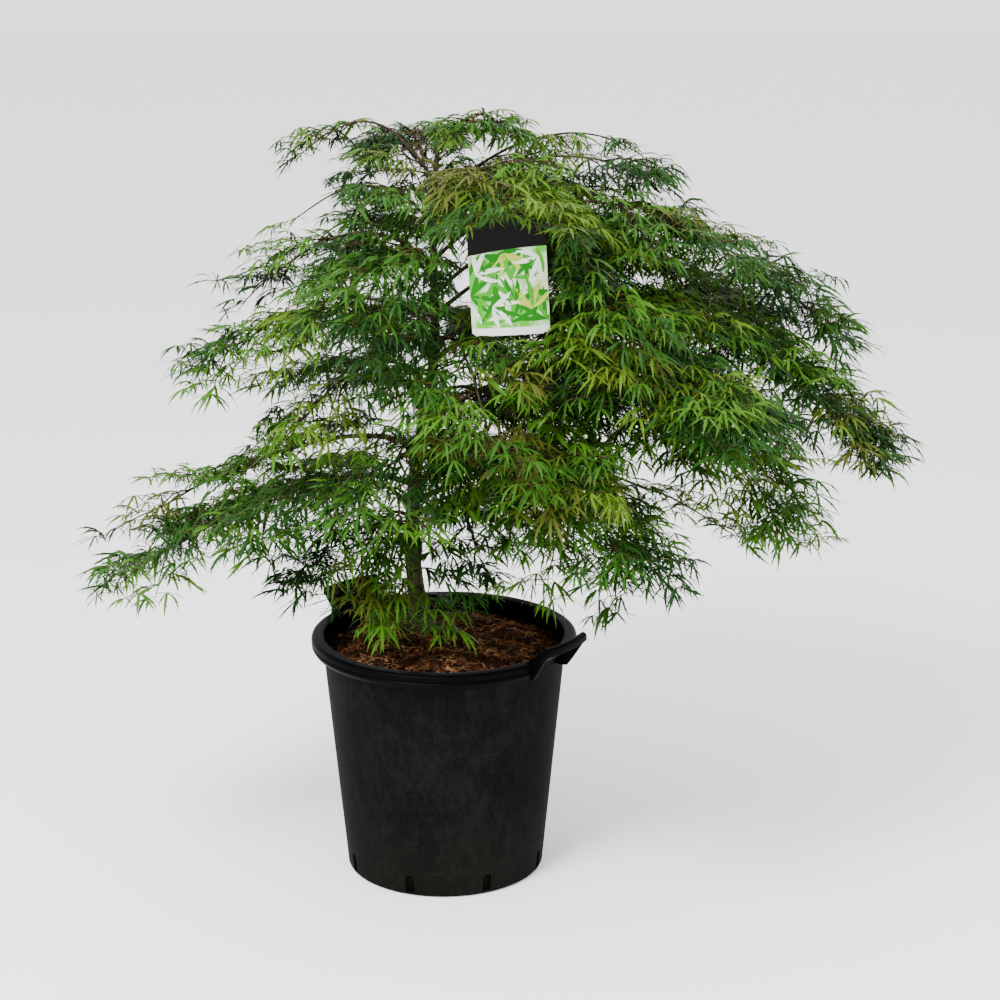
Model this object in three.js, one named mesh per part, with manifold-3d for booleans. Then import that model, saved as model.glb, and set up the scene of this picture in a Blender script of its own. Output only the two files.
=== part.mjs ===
// A weeping laceleaf maple on one leaning stem, growing in a round nursery pot with two rim handles.
// Millimetres, +Z up. The origin is the centre of the pot's flat underside; +X is the crown's longer side.
import * as THREE from 'three';
import { mergeVertices } from 'three/addons/utils/BufferGeometryUtils.js';
import Module from 'manifold-3d';

const wasm = await Module();
wasm.setup();

// Every gap left between two neighbouring pieces.
const gap = 0.3;

const potSize = {
  height: 350,
  baseRadius: 142,
  baseChamfer: 4,
  neckRadius: 173,
  neckHeight: 326,
  wall: 3,
  floor: 4,
  rimRadius: 190,
  rimRound: 5,
  sides: 40,
};
const slotSize = { count: 8, firstAzimuth: -109.5, width: 13, height: 26, corner: 3, foot: 5 };
const handleSize = {
  azimuths: { handle_right: -36, handle_left: 133 },
  width: 86,
  wallRadius: 176,
  pivotRadius: 190,
  lipRadius: 219,
  lipHeight: 378,
  sheet: 4,
  gusset: 4.5,
  steps: 6,
};
const soilSize = { edgeHeight: 325, crownHeight: 338, crownRadius: 96 };
const labelSize = {
  arm: 'crest_front',
  share: 0.7,
  width: 102,
  height: 158,
  thick: 1.6,
  corner: 6,
  lean: -3,
  strap: { length: 32, width: 5, eye: 5.2, band: 2.2, slack: 1.5 },
  room: { before: 9, beside: 5, above: 12 },
  covered: 42,
  sightRise: 0.28,
};

// The stem's centreline leans left at the foot and comes back to upright at the top.
const trunkLine = [
  [-31, 44, 330],
  [-44, 40, 430],
  [-41, 36, 570],
  [-12, 28, 750],
  [-12, 20, 900],
  [-6, 12, 1036],
];
const trunkSize = { footRadius: 12.5, tipRadius: 3.2, flare: 5.5, flareHeight: 34, sides: 8, steps: 16 };
const boughSize = { rootShare: 0.36, tipRadius: 2.3, sides: 5, steps: 5 };
const twigSize = {
  stemRadius: 2.4,
  sideRadius: 2,
  tipRadius: 1.1,
  stemSteps: 4,
  sideSteps: 2,
  sides: 3,
  rise: 0.08,
  fall: 0.22,
};

// A leaf is a hand of slim drooping lobes. Each lobe is given by its angle from the leaf's middle line
// and its length as a share of the longest.
const leafSize = { length: 108, hub: 1.7, notch: 0.29, heel: 0.14, sunk: 1.6, droop: 0.32 };
const lobes = [[-86, 0.7], [-43, 0.92], [0, 1], [43, 0.92], [86, 0.7]];

// Each arm of the crown leaves the stem at foot and ends at reach and tip, rising by lift and hanging by
// droop on its way. bough is the share of it that is a bare limb. Angles in degrees from +X, seen from above.
const arms = {
  leader: { foot: 1036, azimuth: -30, reach: 84, tip: 1088, lift: 36, droop: 14, bough: 0 },
  crest_left: { foot: 988, azimuth: 170, reach: 150, tip: 1052, lift: 94, droop: 36, bough: 0 },
  crest_right: { foot: 962, azimuth: 4, reach: 270, tip: 1036, lift: 92, droop: 46, bough: 0 },
  crest_front: { foot: 972, azimuth: -64, reach: 320, tip: 968, lift: 96, droop: 56, bough: 0.76 },
  crest_back: { foot: 944, azimuth: 100, reach: 240, tip: 1010, lift: 130, droop: 50, bough: 0 },

  right_crest: { foot: 924, azimuth: 26, reach: 360, tip: 958, lift: 130, droop: 70, bough: 0 },
  right_high: { foot: 884, azimuth: -9, reach: 410, tip: 900, lift: 130, droop: 90, bough: 0.4 },
  right_shoulder: { foot: 836, azimuth: 9, reach: 560, tip: 774, lift: 170, droop: 170, bough: 0.46 },
  left_high: { foot: 930, azimuth: -148, reach: 200, tip: 966, lift: 90, droop: 40, bough: 0 },
  left_upper: { foot: 872, azimuth: 172, reach: 262, tip: 826, lift: 100, droop: 70, bough: 0 },
  back_high: { foot: 898, azimuth: 66, reach: 350, tip: 880, lift: 120, droop: 90, bough: 0 },
  back_left_high: { foot: 850, azimuth: 130, reach: 300, tip: 850, lift: 110, droop: 80, bough: 0 },
  front_high: { foot: 904, azimuth: -42, reach: 370, tip: 862, lift: 110, droop: 90, bough: 0.45 },
  front_left_high: { foot: 866, azimuth: -108, reach: 290, tip: 848, lift: 90, droop: 70, bough: 0 },

  right_far: { foot: 740, azimuth: 0, reach: 600, tip: 640, lift: 170, droop: 180, bough: 0.5 },
  right_front_mid: { foot: 764, azimuth: -36, reach: 480, tip: 722, lift: 120, droop: 120, bough: 0.45 },
  left_mid: { foot: 786, azimuth: 179, reach: 300, tip: 742, lift: 80, droop: 80, bough: 0 },
  left_lower: { foot: 700, azimuth: -150, reach: 205, tip: 672, lift: 90, droop: 60, bough: 0 },
  front_mid: { foot: 728, azimuth: -78, reach: 390, tip: 720, lift: 120, droop: 100, bough: 0.42 },
  back_right_high: { foot: 806, azimuth: 26, reach: 500, tip: 768, lift: 130, droop: 120, bough: 0.42 },
  back_mid: { foot: 716, azimuth: 94, reach: 390, tip: 676, lift: 110, droop: 100, bough: 0.42 },
  back_left_mid: { foot: 656, azimuth: 126, reach: 310, tip: 604, lift: 100, droop: 100, bough: 0.42 },

  right_low: { foot: 630, azimuth: -18, reach: 510, tip: 580, lift: 130, droop: 140, bough: 0.5 },
  right_front_low: { foot: 592, azimuth: -50, reach: 430, tip: 556, lift: 100, droop: 100, bough: 0.45 },
  front_right: { foot: 674, azimuth: -60, reach: 400, tip: 634, lift: 100, droop: 90, bough: 0 },
  front_low: { foot: 610, azimuth: -98, reach: 300, tip: 586, lift: 80, droop: 60, bough: 0 },
  left_long: { foot: 616, azimuth: -174, reach: 420, tip: 512, lift: 60, droop: 56, bough: 0.45 },
  left_sweep: { foot: 560, azimuth: -157, reach: 424, tip: 472, lift: 60, droop: 70, bough: 0.45 },
  back_right_mid: { foot: 644, azimuth: 20, reach: 520, tip: 612, lift: 120, droop: 130, bough: 0.45 },
  back_low: { foot: 576, azimuth: 104, reach: 350, tip: 490, lift: 80, droop: 90, bough: 0.42 },
  back_right_low: { foot: 548, azimuth: 62, reach: 390, tip: 444, lift: 90, droop: 110, bough: 0.42 },

  right_hem: { foot: 530, azimuth: 8, reach: 460, tip: 470, lift: 100, droop: 100, bough: 0.5 },
  right_front_hem: { foot: 506, azimuth: -30, reach: 310, tip: 486, lift: 100, droop: 60, bough: 0 },
  front_hem: { foot: 484, azimuth: -84, reach: 130, tip: 434, lift: 60, droop: 50, bough: 0 },
  left_front_hem: { foot: 502, azimuth: -126, reach: 140, tip: 448, lift: 60, droop: 50, bough: 0 },
  back_left_low: { foot: 524, azimuth: 152, reach: 300, tip: 460, lift: 70, droop: 70, bough: 0 },
};
const armBend = { rise: 0.34, fall: 0.3, sway: 0.07 };
const growth = {
  seed: 11,
  twigEvery: 78,
  fewestTwigs: 3,
  firstTwig: 0.1,
  twigPhase: 0.35,
  twigLength: 96,
  twigShares: [1, 0.8, 0.6, 0.42],
  tipShortening: 0.45,
  lengthSpread: 0.15,
  twigAngle: 46,
  angleSpread: 8,
  midLeaf: 0.42,
  midLeafShare: 0.9,
  midLeafTurn: { least: 40, spread: 20 },
  overlap: 22,
  rootRoom: 24,
  apart: 2.5,
  sampleStep: 12,
};
// How steeply a leaf points down at a stem's end, a twig's end and on the inside of a twig.
const leafDip = { stem: -0.5, twig: -0.45, inner: -0.3 };
// The size share and sideways turn of each place that a leaf tries in order.
const leafTries = [
  [1, 0], [1, 35], [1, -35],
  [0.82, 0], [0.82, 50], [0.82, -50],
  [0.64, 0], [0.64, 40], [0.64, -40],
];
// Room kept round the pot: beyond the lip, inside the wall, above the soil and above the rim.
const potRoom = { beyondLip: 8, insideWall: 14, aboveSoil: 8, aboveRim: 6, besideHandle: 24 };

const colours = {
  pot: 0x20211f,
  soil: 0x5a3522,
  bark: 0x4c4230,
  leaf: [0x3f7a22, 0x2f6a1e, 0x4f8528, 0x376f2c],
  label: 0x9fc98a,
};
const finishes = {
  pot: { roughness: 0.45, metalness: 0 },
  soil: { roughness: 1, metalness: 0 },
  bark: { roughness: 0.85, metalness: 0 },
  leaf: { roughness: 0.6, metalness: 0 },
  label: { roughness: 0.35, metalness: 0 },
};

const tree = new THREE.Group();
const rad = THREE.MathUtils.degToRad;
const up = new THREE.Vector3(0, 0, 1);

function addPiece(name, geometry, colour, finish) {
  const material = new THREE.MeshStandardMaterial({ color: colour, ...finish });
  const mesh = new THREE.Mesh(geometry, material);
  mesh.name = name;
  tree.add(mesh);
  return mesh;
}

// A closed three.js geometry as a solid that can be joined and cut.
function toSolid(geometry) {
  const bare = geometry.clone();
  bare.deleteAttribute('normal');
  bare.deleteAttribute('uv');
  const merged = mergeVertices(bare, 1e-4);
  const corners = merged.index.array;
  const faces = [];
  for (let i = 0; i < corners.length; i += 3) {
    const [a, b, c] = [corners[i], corners[i + 1], corners[i + 2]];
    if (a !== b && b !== c && c !== a) faces.push(a, b, c);
  }
  const mesh = new wasm.Mesh({
    numProp: 3,
    vertProperties: Float32Array.from(merged.attributes.position.array),
    triVerts: Uint32Array.from(faces),
  });
  return new wasm.Manifold(mesh);
}

function toGeometry(solid) {
  const mesh = solid.getMesh();
  const geometry = new THREE.BufferGeometry();
  geometry.setAttribute('position', new THREE.BufferAttribute(mesh.vertProperties, 3));
  geometry.setIndex(new THREE.BufferAttribute(mesh.triVerts, 1));
  geometry.computeVertexNormals();
  return geometry;
}

// The same numbers on every run, from a small seeded generator.
function seededRandom(seed) {
  let state = seed;
  return () => {
    state = (state + 0x6d2b79f5) | 0;
    let mixed = Math.imul(state ^ (state >>> 15), 1 | state);
    mixed = (mixed + Math.imul(mixed ^ (mixed >>> 7), 61 | mixed)) ^ mixed;
    return ((mixed ^ (mixed >>> 14)) >>> 0) / 4294967296;
  };
}

// A round bar bent along a curve. radiusAt gives its radius at a share of the way along.
function bentBar(curve, radiusAt, sides, steps) {
  const geometry = new THREE.CylinderGeometry(1, 1, 1, sides, steps);
  const frames = curve.computeFrenetFrames(steps);
  const position = geometry.attributes.position;
  for (let i = 0; i < position.count; i += 1) {
    const ring = Math.round((position.getY(i) + 0.5) * steps);
    const radius = radiusAt(ring / steps);
    const point = curve.getPointAt(ring / steps)
      .addScaledVector(frames.normals[ring], position.getX(i) * radius)
      .addScaledVector(frames.binormals[ring], -position.getZ(i) * radius);
    position.setXYZ(i, point.x, point.y, point.z);
  }
  return geometry;
}

// The point at a share of a bar's way, on the straight runs that its steps make of the curve.
function onBar(curve, steps, share) {
  const run = Math.min(steps - 1, Math.floor(share * steps));
  const next = curve.getPointAt((run + 1) / steps);
  return curve.getPointAt(run / steps).lerp(next, share * steps - run);
}

// An outline of radius and height, drawn out by length and bent round the pot's axis at an azimuth.
function bentRoundPot(outline, length, from, azimuth) {
  const shape = new THREE.Shape(outline.map(([r, z]) => new THREE.Vector2(r, z)));
  const steps = Math.max(1, Math.round((handleSize.steps * length) / handleSize.width));
  const geometry = new THREE.ExtrudeGeometry(shape, { depth: length, steps, bevelEnabled: false });
  const position = geometry.attributes.position;
  for (let i = 0; i < position.count; i += 1) {
    const radius = position.getX(i);
    const angle = rad(azimuth) - (from + position.getZ(i)) / handleSize.pivotRadius;
    position.setXYZ(i, radius * Math.cos(angle), radius * Math.sin(angle), position.getY(i));
  }
  return geometry;
}

// A profile of radius and height turned round the pot's axis.
function turned(profile) {
  const points = profile.map(([r, z]) => new THREE.Vector2(r, z));
  return new THREE.LatheGeometry(points, potSize.sides).rotateX(Math.PI / 2);
}

function potRadiusAt(z) {
  const slope = (potSize.neckRadius - potSize.baseRadius) / (potSize.neckHeight - potSize.baseChamfer);
  return potSize.baseRadius + slope * (z - potSize.baseChamfer);
}

// The pot: a tapering cup with a solid rim band, drain slots round its foot and two cuts for the handles.
function makePot() {
  const { height, baseRadius, baseChamfer, neckRadius, neckHeight } = potSize;
  const { wall, floor, rimRadius, rimRound } = potSize;
  let solid = toSolid(turned([
    [0, 0],
    [baseRadius - baseChamfer, 0],
    [baseRadius, baseChamfer],
    [neckRadius, neckHeight],
    [rimRadius - rimRound, neckHeight + rimRound],
    [rimRadius, neckHeight + 2 * rimRound],
    [rimRadius, height - rimRound],
    [rimRadius - rimRound, height],
    [potRadiusAt(height) - wall, height],
    [potRadiusAt(floor) - wall, floor],
    [0, floor],
  ]));
  for (let i = 0; i < slotSize.count; i += 1) {
    solid = solid.subtract(toSolid(makeSlot(slotSize.firstAzimuth + (360 / slotSize.count) * i)));
  }
  for (const azimuth of Object.values(handleSize.azimuths)) {
    const outline = [
      [handleSize.wallRadius, neckHeight - rimRound],
      [rimRadius + rimRound, neckHeight - rimRound],
      [rimRadius + rimRound, height + rimRound],
      [handleSize.wallRadius, height + rimRound],
    ];
    const length = handleSize.width + 2 * gap;
    solid = solid.subtract(toSolid(bentRoundPot(outline, length, -length / 2, azimuth)));
  }
  addPiece('pot', toGeometry(solid), colours.pot, finishes.pot);
}

// A drain slot: an upright hole with cut corners through the foot of the wall.
function makeSlot(azimuth) {
  const { width, height, corner, foot } = slotSize;
  const side = width / 2;
  const shape = new THREE.Shape();
  shape.moveTo(-side, foot);
  shape.lineTo(side, foot);
  shape.lineTo(side, foot + height - corner);
  shape.lineTo(side - corner, foot + height);
  shape.lineTo(corner - side, foot + height);
  shape.lineTo(-side, foot + height - corner);
  const through = { depth: potSize.wall * 4, bevelEnabled: false };
  const slot = new THREE.ExtrudeGeometry(shape, through).rotateX(Math.PI / 2);
  slot.translate(0, potSize.wall * 2 - potRadiusAt(foot), 0);
  return slot.rotateZ(rad(azimuth + 90));
}

// A rim handle: a sheet that rises outwards to a turned-down lip, on a gusset at each end.
function makeHandle(name, azimuth) {
  const { width, wallRadius, lipRadius, lipHeight, sheet, gusset } = handleSize;
  const inner = wallRadius + 2 * gap;
  const seat = potSize.height - sheet;
  const lip = [
    [inner, seat - 2 * sheet],
    [inner + sheet, seat - 2 * sheet],
    [inner + sheet, seat - sheet],
    [lipRadius - 1.5 * sheet, lipHeight - 1.4 * sheet],
    [lipRadius - sheet, lipHeight - 3 * sheet],
    [lipRadius, lipHeight - 3 * sheet],
    [lipRadius, lipHeight],
    [lipRadius - 1.8 * sheet, lipHeight],
    [inner, potSize.height - 1],
  ];
  const web = [
    [inner, potSize.neckHeight + gap],
    [potSize.rimRadius, potSize.neckHeight + gap],
    [lipRadius - 0.5 * sheet, lipHeight - 2.8 * sheet],
    [lipRadius - 1.6 * sheet, lipHeight - sheet],
    [inner, potSize.height - 2],
  ];
  const solid = toSolid(bentRoundPot(lip, width, -width / 2, azimuth))
    .add(toSolid(bentRoundPot(web, gusset, -width / 2, azimuth)))
    .add(toSolid(bentRoundPot(web, gusset, width / 2 - gusset, azimuth)));
  addPiece(name, toGeometry(solid), colours.pot, finishes.pot);
}

// The soil fills the pot to just under the rim and swells gently towards the stem.
function makeSoil() {
  const { edgeHeight, crownHeight, crownRadius } = soilSize;
  const inset = potSize.wall + gap;
  const geometry = turned([
    [0, potSize.floor + gap],
    [potRadiusAt(potSize.floor) - inset, potSize.floor + gap],
    [potRadiusAt(edgeHeight) - inset, edgeHeight],
    [crownRadius, crownHeight],
    [0, crownHeight],
  ]);
  addPiece('soil', toGeometry(toSolid(geometry)), colours.soil, finishes.soil);
}

const trunkCurve = new THREE.CatmullRomCurve3(trunkLine.map((p) => new THREE.Vector3(...p)));

function trunkAt(height) {
  let low = 0;
  let high = 1;
  for (let i = 0; i < 24; i += 1) {
    const middle = (low + high) / 2;
    if (trunkCurve.getPointAt(middle).z < height) low = middle;
    else high = middle;
  }
  return low;
}

function trunkRadius(share) {
  const { footRadius, tipRadius, flare, flareHeight } = trunkSize;
  const height = trunkCurve.getPointAt(share).z - soilSize.crownHeight;
  return footRadius + (tipRadius - footRadius) * share + flare * Math.exp(-Math.max(0, height) / flareHeight);
}

function trunkSolid(extra) {
  const radius = (share) => trunkRadius(share) + extra;
  return toSolid(bentBar(trunkCurve, radius, trunkSize.sides, trunkSize.steps));
}

function makeTrunk() {
  const solid = trunkSolid(0).trimByPlane([0, 0, 1], soilSize.crownHeight + gap);
  addPiece('trunk', toGeometry(solid), colours.bark, finishes.bark);
}

// Part of a curve, from one share of its length to another.
class Stretch extends THREE.Curve {
  constructor(whole, from, to) {
    super();
    this.whole = whole;
    this.from = from;
    this.to = to;
  }

  getPoint(share, target = new THREE.Vector3()) {
    return this.whole.getPointAt(this.from + (this.to - this.from) * share, target);
  }
}

// The line of one arm, from the stem's centreline to the end of its mass.
function armCurve(arm, sway) {
  const root = trunkCurve.getPointAt(trunkAt(arm.foot));
  const out = new THREE.Vector3(Math.cos(rad(arm.azimuth)), Math.sin(rad(arm.azimuth)), 0);
  const side = new THREE.Vector3(-out.y, out.x, 0);
  const end = root.clone().addScaledVector(out, arm.reach);
  end.z = arm.tip;
  const rise = root.clone().addScaledVector(out, arm.reach * armBend.rise).addScaledVector(up, arm.lift);
  const fall = end.clone().addScaledVector(out, -arm.reach * armBend.fall).addScaledVector(up, arm.droop);
  rise.addScaledVector(side, sway * arm.reach);
  return new THREE.CubicBezierCurve3(root, rise, fall, end);
}

// A row of balls along a curve, as thick as what grows there.
function ballsAlong(curve, radiusAt, step = growth.sampleStep) {
  const count = Math.ceil(curve.getLength() / step);
  const balls = [];
  for (let i = 0; i <= count; i += 1) {
    balls.push({ point: curve.getPointAt(i / count), radius: radiusAt(i / count) });
  }
  return balls;
}

// What has grown so far, as rows of balls that later twigs and leaves keep clear of.
const grownSoFar = [];

function remember(owner, kind, balls) {
  const box = new THREE.Box3().setFromPoints(balls.map((ball) => ball.point));
  grownSoFar.push({ owner, kind, balls, ...box.getBoundingSphere(new THREE.Sphere()) });
}

const fatTrunk = trunkSolid(gap);
const spines = [];

// Every arm is laid out before anything grows on it, so that each mass knows its neighbours.
function layOutArms() {
  const random = seededRandom(growth.seed);
  for (const [name, arm] of Object.entries(arms)) {
    const curve = armCurve(arm, (2 * random() - 1) * armBend.sway);
    const length = curve.getLength();
    if (arm.bough > 0) {
      const rootRadius = 1 + boughSize.rootShare * trunkRadius(trunkAt(arm.foot));
      const radiusAt = (share) => rootRadius + (boughSize.tipRadius - rootRadius) * share;
      const bough = new Stretch(curve, 0, arm.bough);
      remember(name, 'limb', ballsAlong(bough, radiusAt));
      const solid = toSolid(bentBar(bough, radiusAt, boughSize.sides, boughSize.steps)).subtract(fatTrunk);
      addPiece(`bough_${name}`, toGeometry(solid), colours.bark, finishes.bark);
    }
    const start = arm.bough > 0 ? arm.bough + gap / length : 0;
    const spine = new Stretch(curve, start, 1);
    const radiusAt = (share) => twigSize.stemRadius + (twigSize.tipRadius - twigSize.stemRadius) * share;
    const balls = ballsAlong(spine, radiusAt);
    remember(name, 'stem', balls);
    spines.push({ name, arm, curve, spine, radiusAt, balls });
  }
}

function nearest(point, balls) {
  return balls.reduce((best, ball) => Math.min(best, point.distanceTo(ball.point)), Infinity);
}

// True where a point is nearer to its own mass's stem than to any other, give or take the overlap.
function inOwnSpace(point, owner) {
  const own = nearest(point, owner.balls) - growth.overlap;
  return spines.every((other) => other === owner || nearest(point, other.balls) > own);
}

// True where a row of balls touches nothing that has grown, apart from its own mass close to its root.
function touchesNothing(balls, owner, root) {
  const box = new THREE.Box3().setFromPoints(balls.map((ball) => ball.point));
  const { center, radius } = box.getBoundingSphere(new THREE.Sphere());
  return grownSoFar.every((row) => {
    if (center.distanceTo(row.center) > radius + row.radius + leafSize.length / 2) return true;
    const near = row.owner === owner.name ? growth.rootRoom : 0;
    return row.balls.every((other) => {
      if (root.distanceTo(other.point) < near) return true;
      return balls.every((ball) => {
        return ball.point.distanceTo(other.point) > ball.radius + other.radius + growth.apart;
      });
    });
  });
}

// Over the soil or outside the rim, and above the handles beside them.
function clearOfPot(point) {
  const radius = Math.hypot(point.x, point.y);
  const { beyondLip, insideWall, aboveSoil, aboveRim, besideHandle } = potRoom;
  if (radius > handleSize.lipRadius + beyondLip) return true;
  if (radius < potSize.neckRadius - insideWall) return point.z > soilSize.crownHeight + aboveSoil;
  const byHandle = Object.values(handleSize.azimuths).some((azimuth) => {
    const turn = Math.atan2(point.y, point.x) - rad(azimuth);
    return Math.cos(turn) > Math.cos(rad(besideHandle));
  });
  return point.z > (byHandle ? handleSize.lipHeight : potSize.height) + aboveRim;
}

// Clear of the label, and not hanging before the lower part of its face as it is seen from above.
function clearOfLabel(point) {
  const { x, y, z } = labelCentre();
  const { width, height, strap, room, covered, sightRise } = labelSize;
  const across = Math.abs(point.x - x);
  const above = point.z - z;
  const before = y - point.y;
  if (Math.abs(before) < room.before) {
    const belowCard = above < -height / 2 - room.beside;
    return across > width / 2 + room.beside || belowCard || above > height / 2 + strap.length + room.above;
  }
  const seen = above - before * sightRise;
  return before < 0 || across > width / 2 || seen < -height / 2 || seen > height / 2 - covered;
}

function isFree(balls, owner, root) {
  const placed = balls.every(({ point }) => {
    return inOwnSpace(point, owner) && clearOfPot(point) && clearOfLabel(point);
  });
  return placed && touchesNothing(balls, owner, root);
}

// One leaf: a ten-cornered lens whose corners are pulled out into lobes and in to the notches between.
function makeLeaf(size) {
  const geometry = new THREE.SphereGeometry(1, 2 * lobes.length, 2);
  const position = geometry.attributes.position;
  for (let i = 0; i < position.count; i += 1) {
    const height = position.getY(i);
    if (Math.abs(height) > 0.5) {
      position.setXYZ(i, 0, 0, Math.sign(height) * leafSize.hub);
      continue;
    }
    const turn = Math.atan2(position.getZ(i), -position.getX(i));
    const corner = (Math.round((turn * lobes.length) / Math.PI) + 2 * lobes.length) % (2 * lobes.length);
    const [angle, radius] = leafCorner(corner);
    const r = radius * size;
    const fall = leafSize.droop * radius * radius * size;
    position.setXYZ(i, r * Math.cos(rad(angle)), r * Math.sin(rad(angle)), -fall);
  }
  return geometry;
}

// The angle and radius share of a leaf's corner: odd ones are lobe tips, even ones the notches and the heel.
function leafCorner(corner) {
  if (corner === 0) return [180, leafSize.heel];
  if (corner % 2 === 1) return lobes[(corner - 1) / 2];
  const before = lobes[corner / 2 - 1][0];
  const after = lobes[corner / 2][0];
  return [(before + after) / 2, leafSize.notch];
}

function leafPlace(point, forward) {
  const side = up.clone().cross(forward).normalize();
  const top = forward.clone().cross(side).normalize();
  return new THREE.Matrix4().makeBasis(forward, side, top).setPosition(point);
}

// A leaf of the largest size that stays in its space, turned aside where it has to be, or nothing.
function growLeaf(owner, point, forward, size) {
  for (const [share, aside] of leafTries) {
    const ahead = forward.clone().applyAxisAngle(up, rad(aside)).normalize();
    const length = size * share;
    const hub = point.clone().addScaledVector(ahead, leafSize.heel * length - leafSize.sunk);
    const place = leafPlace(hub, ahead);
    const rows = lobes.map(([angle, radius]) => {
      const r = radius * length;
      const fall = leafSize.droop * radius * r;
      const tip = new THREE.Vector3(r * Math.cos(rad(angle)), r * Math.sin(rad(angle)), -fall);
      const rib = new THREE.LineCurve3(hub, tip.applyMatrix4(place));
      return ballsAlong(rib, (part) => 0.5 * leafSize.notch * length * (1 - part), length / 7);
    });
    if (rows.every((balls) => isFree(balls, owner, point))) {
      rows.forEach((balls) => remember(owner.name, 'leaf', balls));
      return toSolid(makeLeaf(length).applyMatrix4(place));
    }
  }
  return null;
}

// A side twig that leaves the stem and hangs over, shortened until it stays in its space.
function growTwig(owner, root, heading, length, radiusAt) {
  for (const share of growth.twigShares) {
    const reach = length * share;
    const end = root.clone().addScaledVector(heading, reach);
    const middle = root.clone().lerp(end, 0.5).addScaledVector(up, reach * twigSize.rise);
    end.addScaledVector(up, -reach * twigSize.fall);
    const curve = new THREE.QuadraticBezierCurve3(root, middle, end);
    const balls = ballsAlong(curve, radiusAt).slice(1);
    if (isFree(balls, owner, root)) {
      remember(owner.name, 'twig', balls);
      return curve;
    }
  }
  return null;
}

// One mass: a stem with side twigs by turns left and right, and leaves on both.
function makeMass(owner, random) {
  const { spine } = owner;
  const { sideRadius, tipRadius, stemSteps, sideSteps, sides } = twigSize;
  const { twigPhase, tipShortening, lengthSpread, angleSpread, midLeafTurn, midLeafShare } = growth;
  const aboutOne = (spread) => 1 + spread * (2 * random() - 1);
  const grown = [toSolid(bentBar(spine, owner.radiusAt, sides, stemSteps))];
  const radiusAt = (part) => sideRadius + (tipRadius - sideRadius) * part;
  grown.push(growLeaf(owner, spine.getPointAt(1), spine.getTangentAt(1).setZ(leafDip.stem), leafSize.length));
  const count = Math.max(growth.fewestTwigs, Math.round(spine.getLength() / growth.twigEvery));
  for (let i = count - 1; i >= 0; i -= 1) {
    const share = growth.firstTwig + (1 - growth.firstTwig) * ((i + twigPhase) / count);
    const root = onBar(spine, stemSteps, share);
    const ahead = spine.getTangentAt(share).setZ(0).normalize();
    const hand = i % 2 === 0 ? 1 : -1;
    const turn = hand * rad(growth.twigAngle + angleSpread * (2 * random() - 1));
    const heading = ahead.clone().applyAxisAngle(up, turn);
    const back = -hand * rad(midLeafTurn.least + midLeafTurn.spread * random());
    const inward = heading.clone().applyAxisAngle(up, back).setZ(leafDip.inner);
    const length = growth.twigLength * (1.1 - tipShortening * share) * aboutOne(lengthSpread);
    const curve = growTwig(owner, root, heading, length, radiusAt);
    if (curve === null) {
      grown.push(growLeaf(owner, root, inward, leafSize.length));
      continue;
    }
    grown.push(toSolid(bentBar(curve, radiusAt, sides, sideSteps)));
    const onward = curve.getTangentAt(1).setZ(leafDip.twig);
    grown.push(growLeaf(owner, curve.getPointAt(1), onward, leafSize.length));
    const twigMiddle = onBar(curve, sideSteps, growth.midLeaf);
    grown.push(growLeaf(owner, twigMiddle, inward, leafSize.length * midLeafShare));
  }
  let solid = wasm.Manifold.union(grown.filter((piece) => piece !== null));
  if (owner.arm.bough === 0) solid = solid.subtract(fatTrunk);
  return largestBody(solid);
}

// The largest closed body of a solid, without loose scraps.
function largestBody(solid) {
  const bodies = solid.decompose();
  return bodies.reduce((best, body) => (body.volume() > best.volume() ? body : best));
}

// Where the label's strap goes over its limb.
function labelHook() {
  const { curve } = spines.find(({ name }) => name === labelSize.arm);
  return { point: curve.getPointAt(labelSize.share), along: curve.getTangentAt(labelSize.share) };
}

function labelCentre() {
  const below = labelSize.strap.length + labelSize.height / 2;
  return labelHook().point.clone().addScaledVector(up, -below);
}

// The label: a thin card that hangs from a limb by a strap with an eye.
function makeLabel() {
  const { width, height, thick, corner, lean, strap } = labelSize;
  const shape = new THREE.Shape();
  const [side, top] = [width / 2, height / 2];
  shape.moveTo(-side, corner - top);
  shape.lineTo(corner - side, -top);
  shape.lineTo(side - corner, -top);
  shape.lineTo(side, corner - top);
  shape.lineTo(side, top);
  shape.lineTo(-side, top);
  const card = new THREE.ExtrudeGeometry(shape, { depth: thick, bevelEnabled: false }).rotateX(Math.PI / 2);
  const centre = labelCentre();
  card.translate(0, thick / 2, 0).rotateY(rad(lean)).translate(centre.x, centre.y, centre.z);
  const hook = labelHook();
  const eye = new THREE.Shape().absarc(0, 0, strap.eye + strap.band, 0, 2 * Math.PI);
  eye.holes.push(new THREE.Path().absarc(0, 0, strap.eye, 0, 2 * Math.PI, true));
  const ring = { depth: strap.width, bevelEnabled: false, curveSegments: 5 };
  const band = new THREE.ExtrudeGeometry(eye, ring).translate(0, 0, -strap.width / 2).rotateX(Math.PI / 2);
  band.rotateZ(Math.atan2(hook.along.y, hook.along.x) + Math.PI / 2);
  const drop = strap.eye - boughSize.tipRadius - strap.slack;
  band.translate(hook.point.x, hook.point.y, hook.point.z - drop);
  const long = strap.length - drop - strap.eye - strap.band / 2;
  const tongue = new THREE.BoxGeometry(strap.width, thick, long + corner);
  tongue.translate(centre.x, centre.y, centre.z + top + (long - corner) / 2);
  const solid = toSolid(card).add(toSolid(band)).add(toSolid(tongue));
  addPiece('label', toGeometry(solid), colours.label, finishes.label);
}

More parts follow.
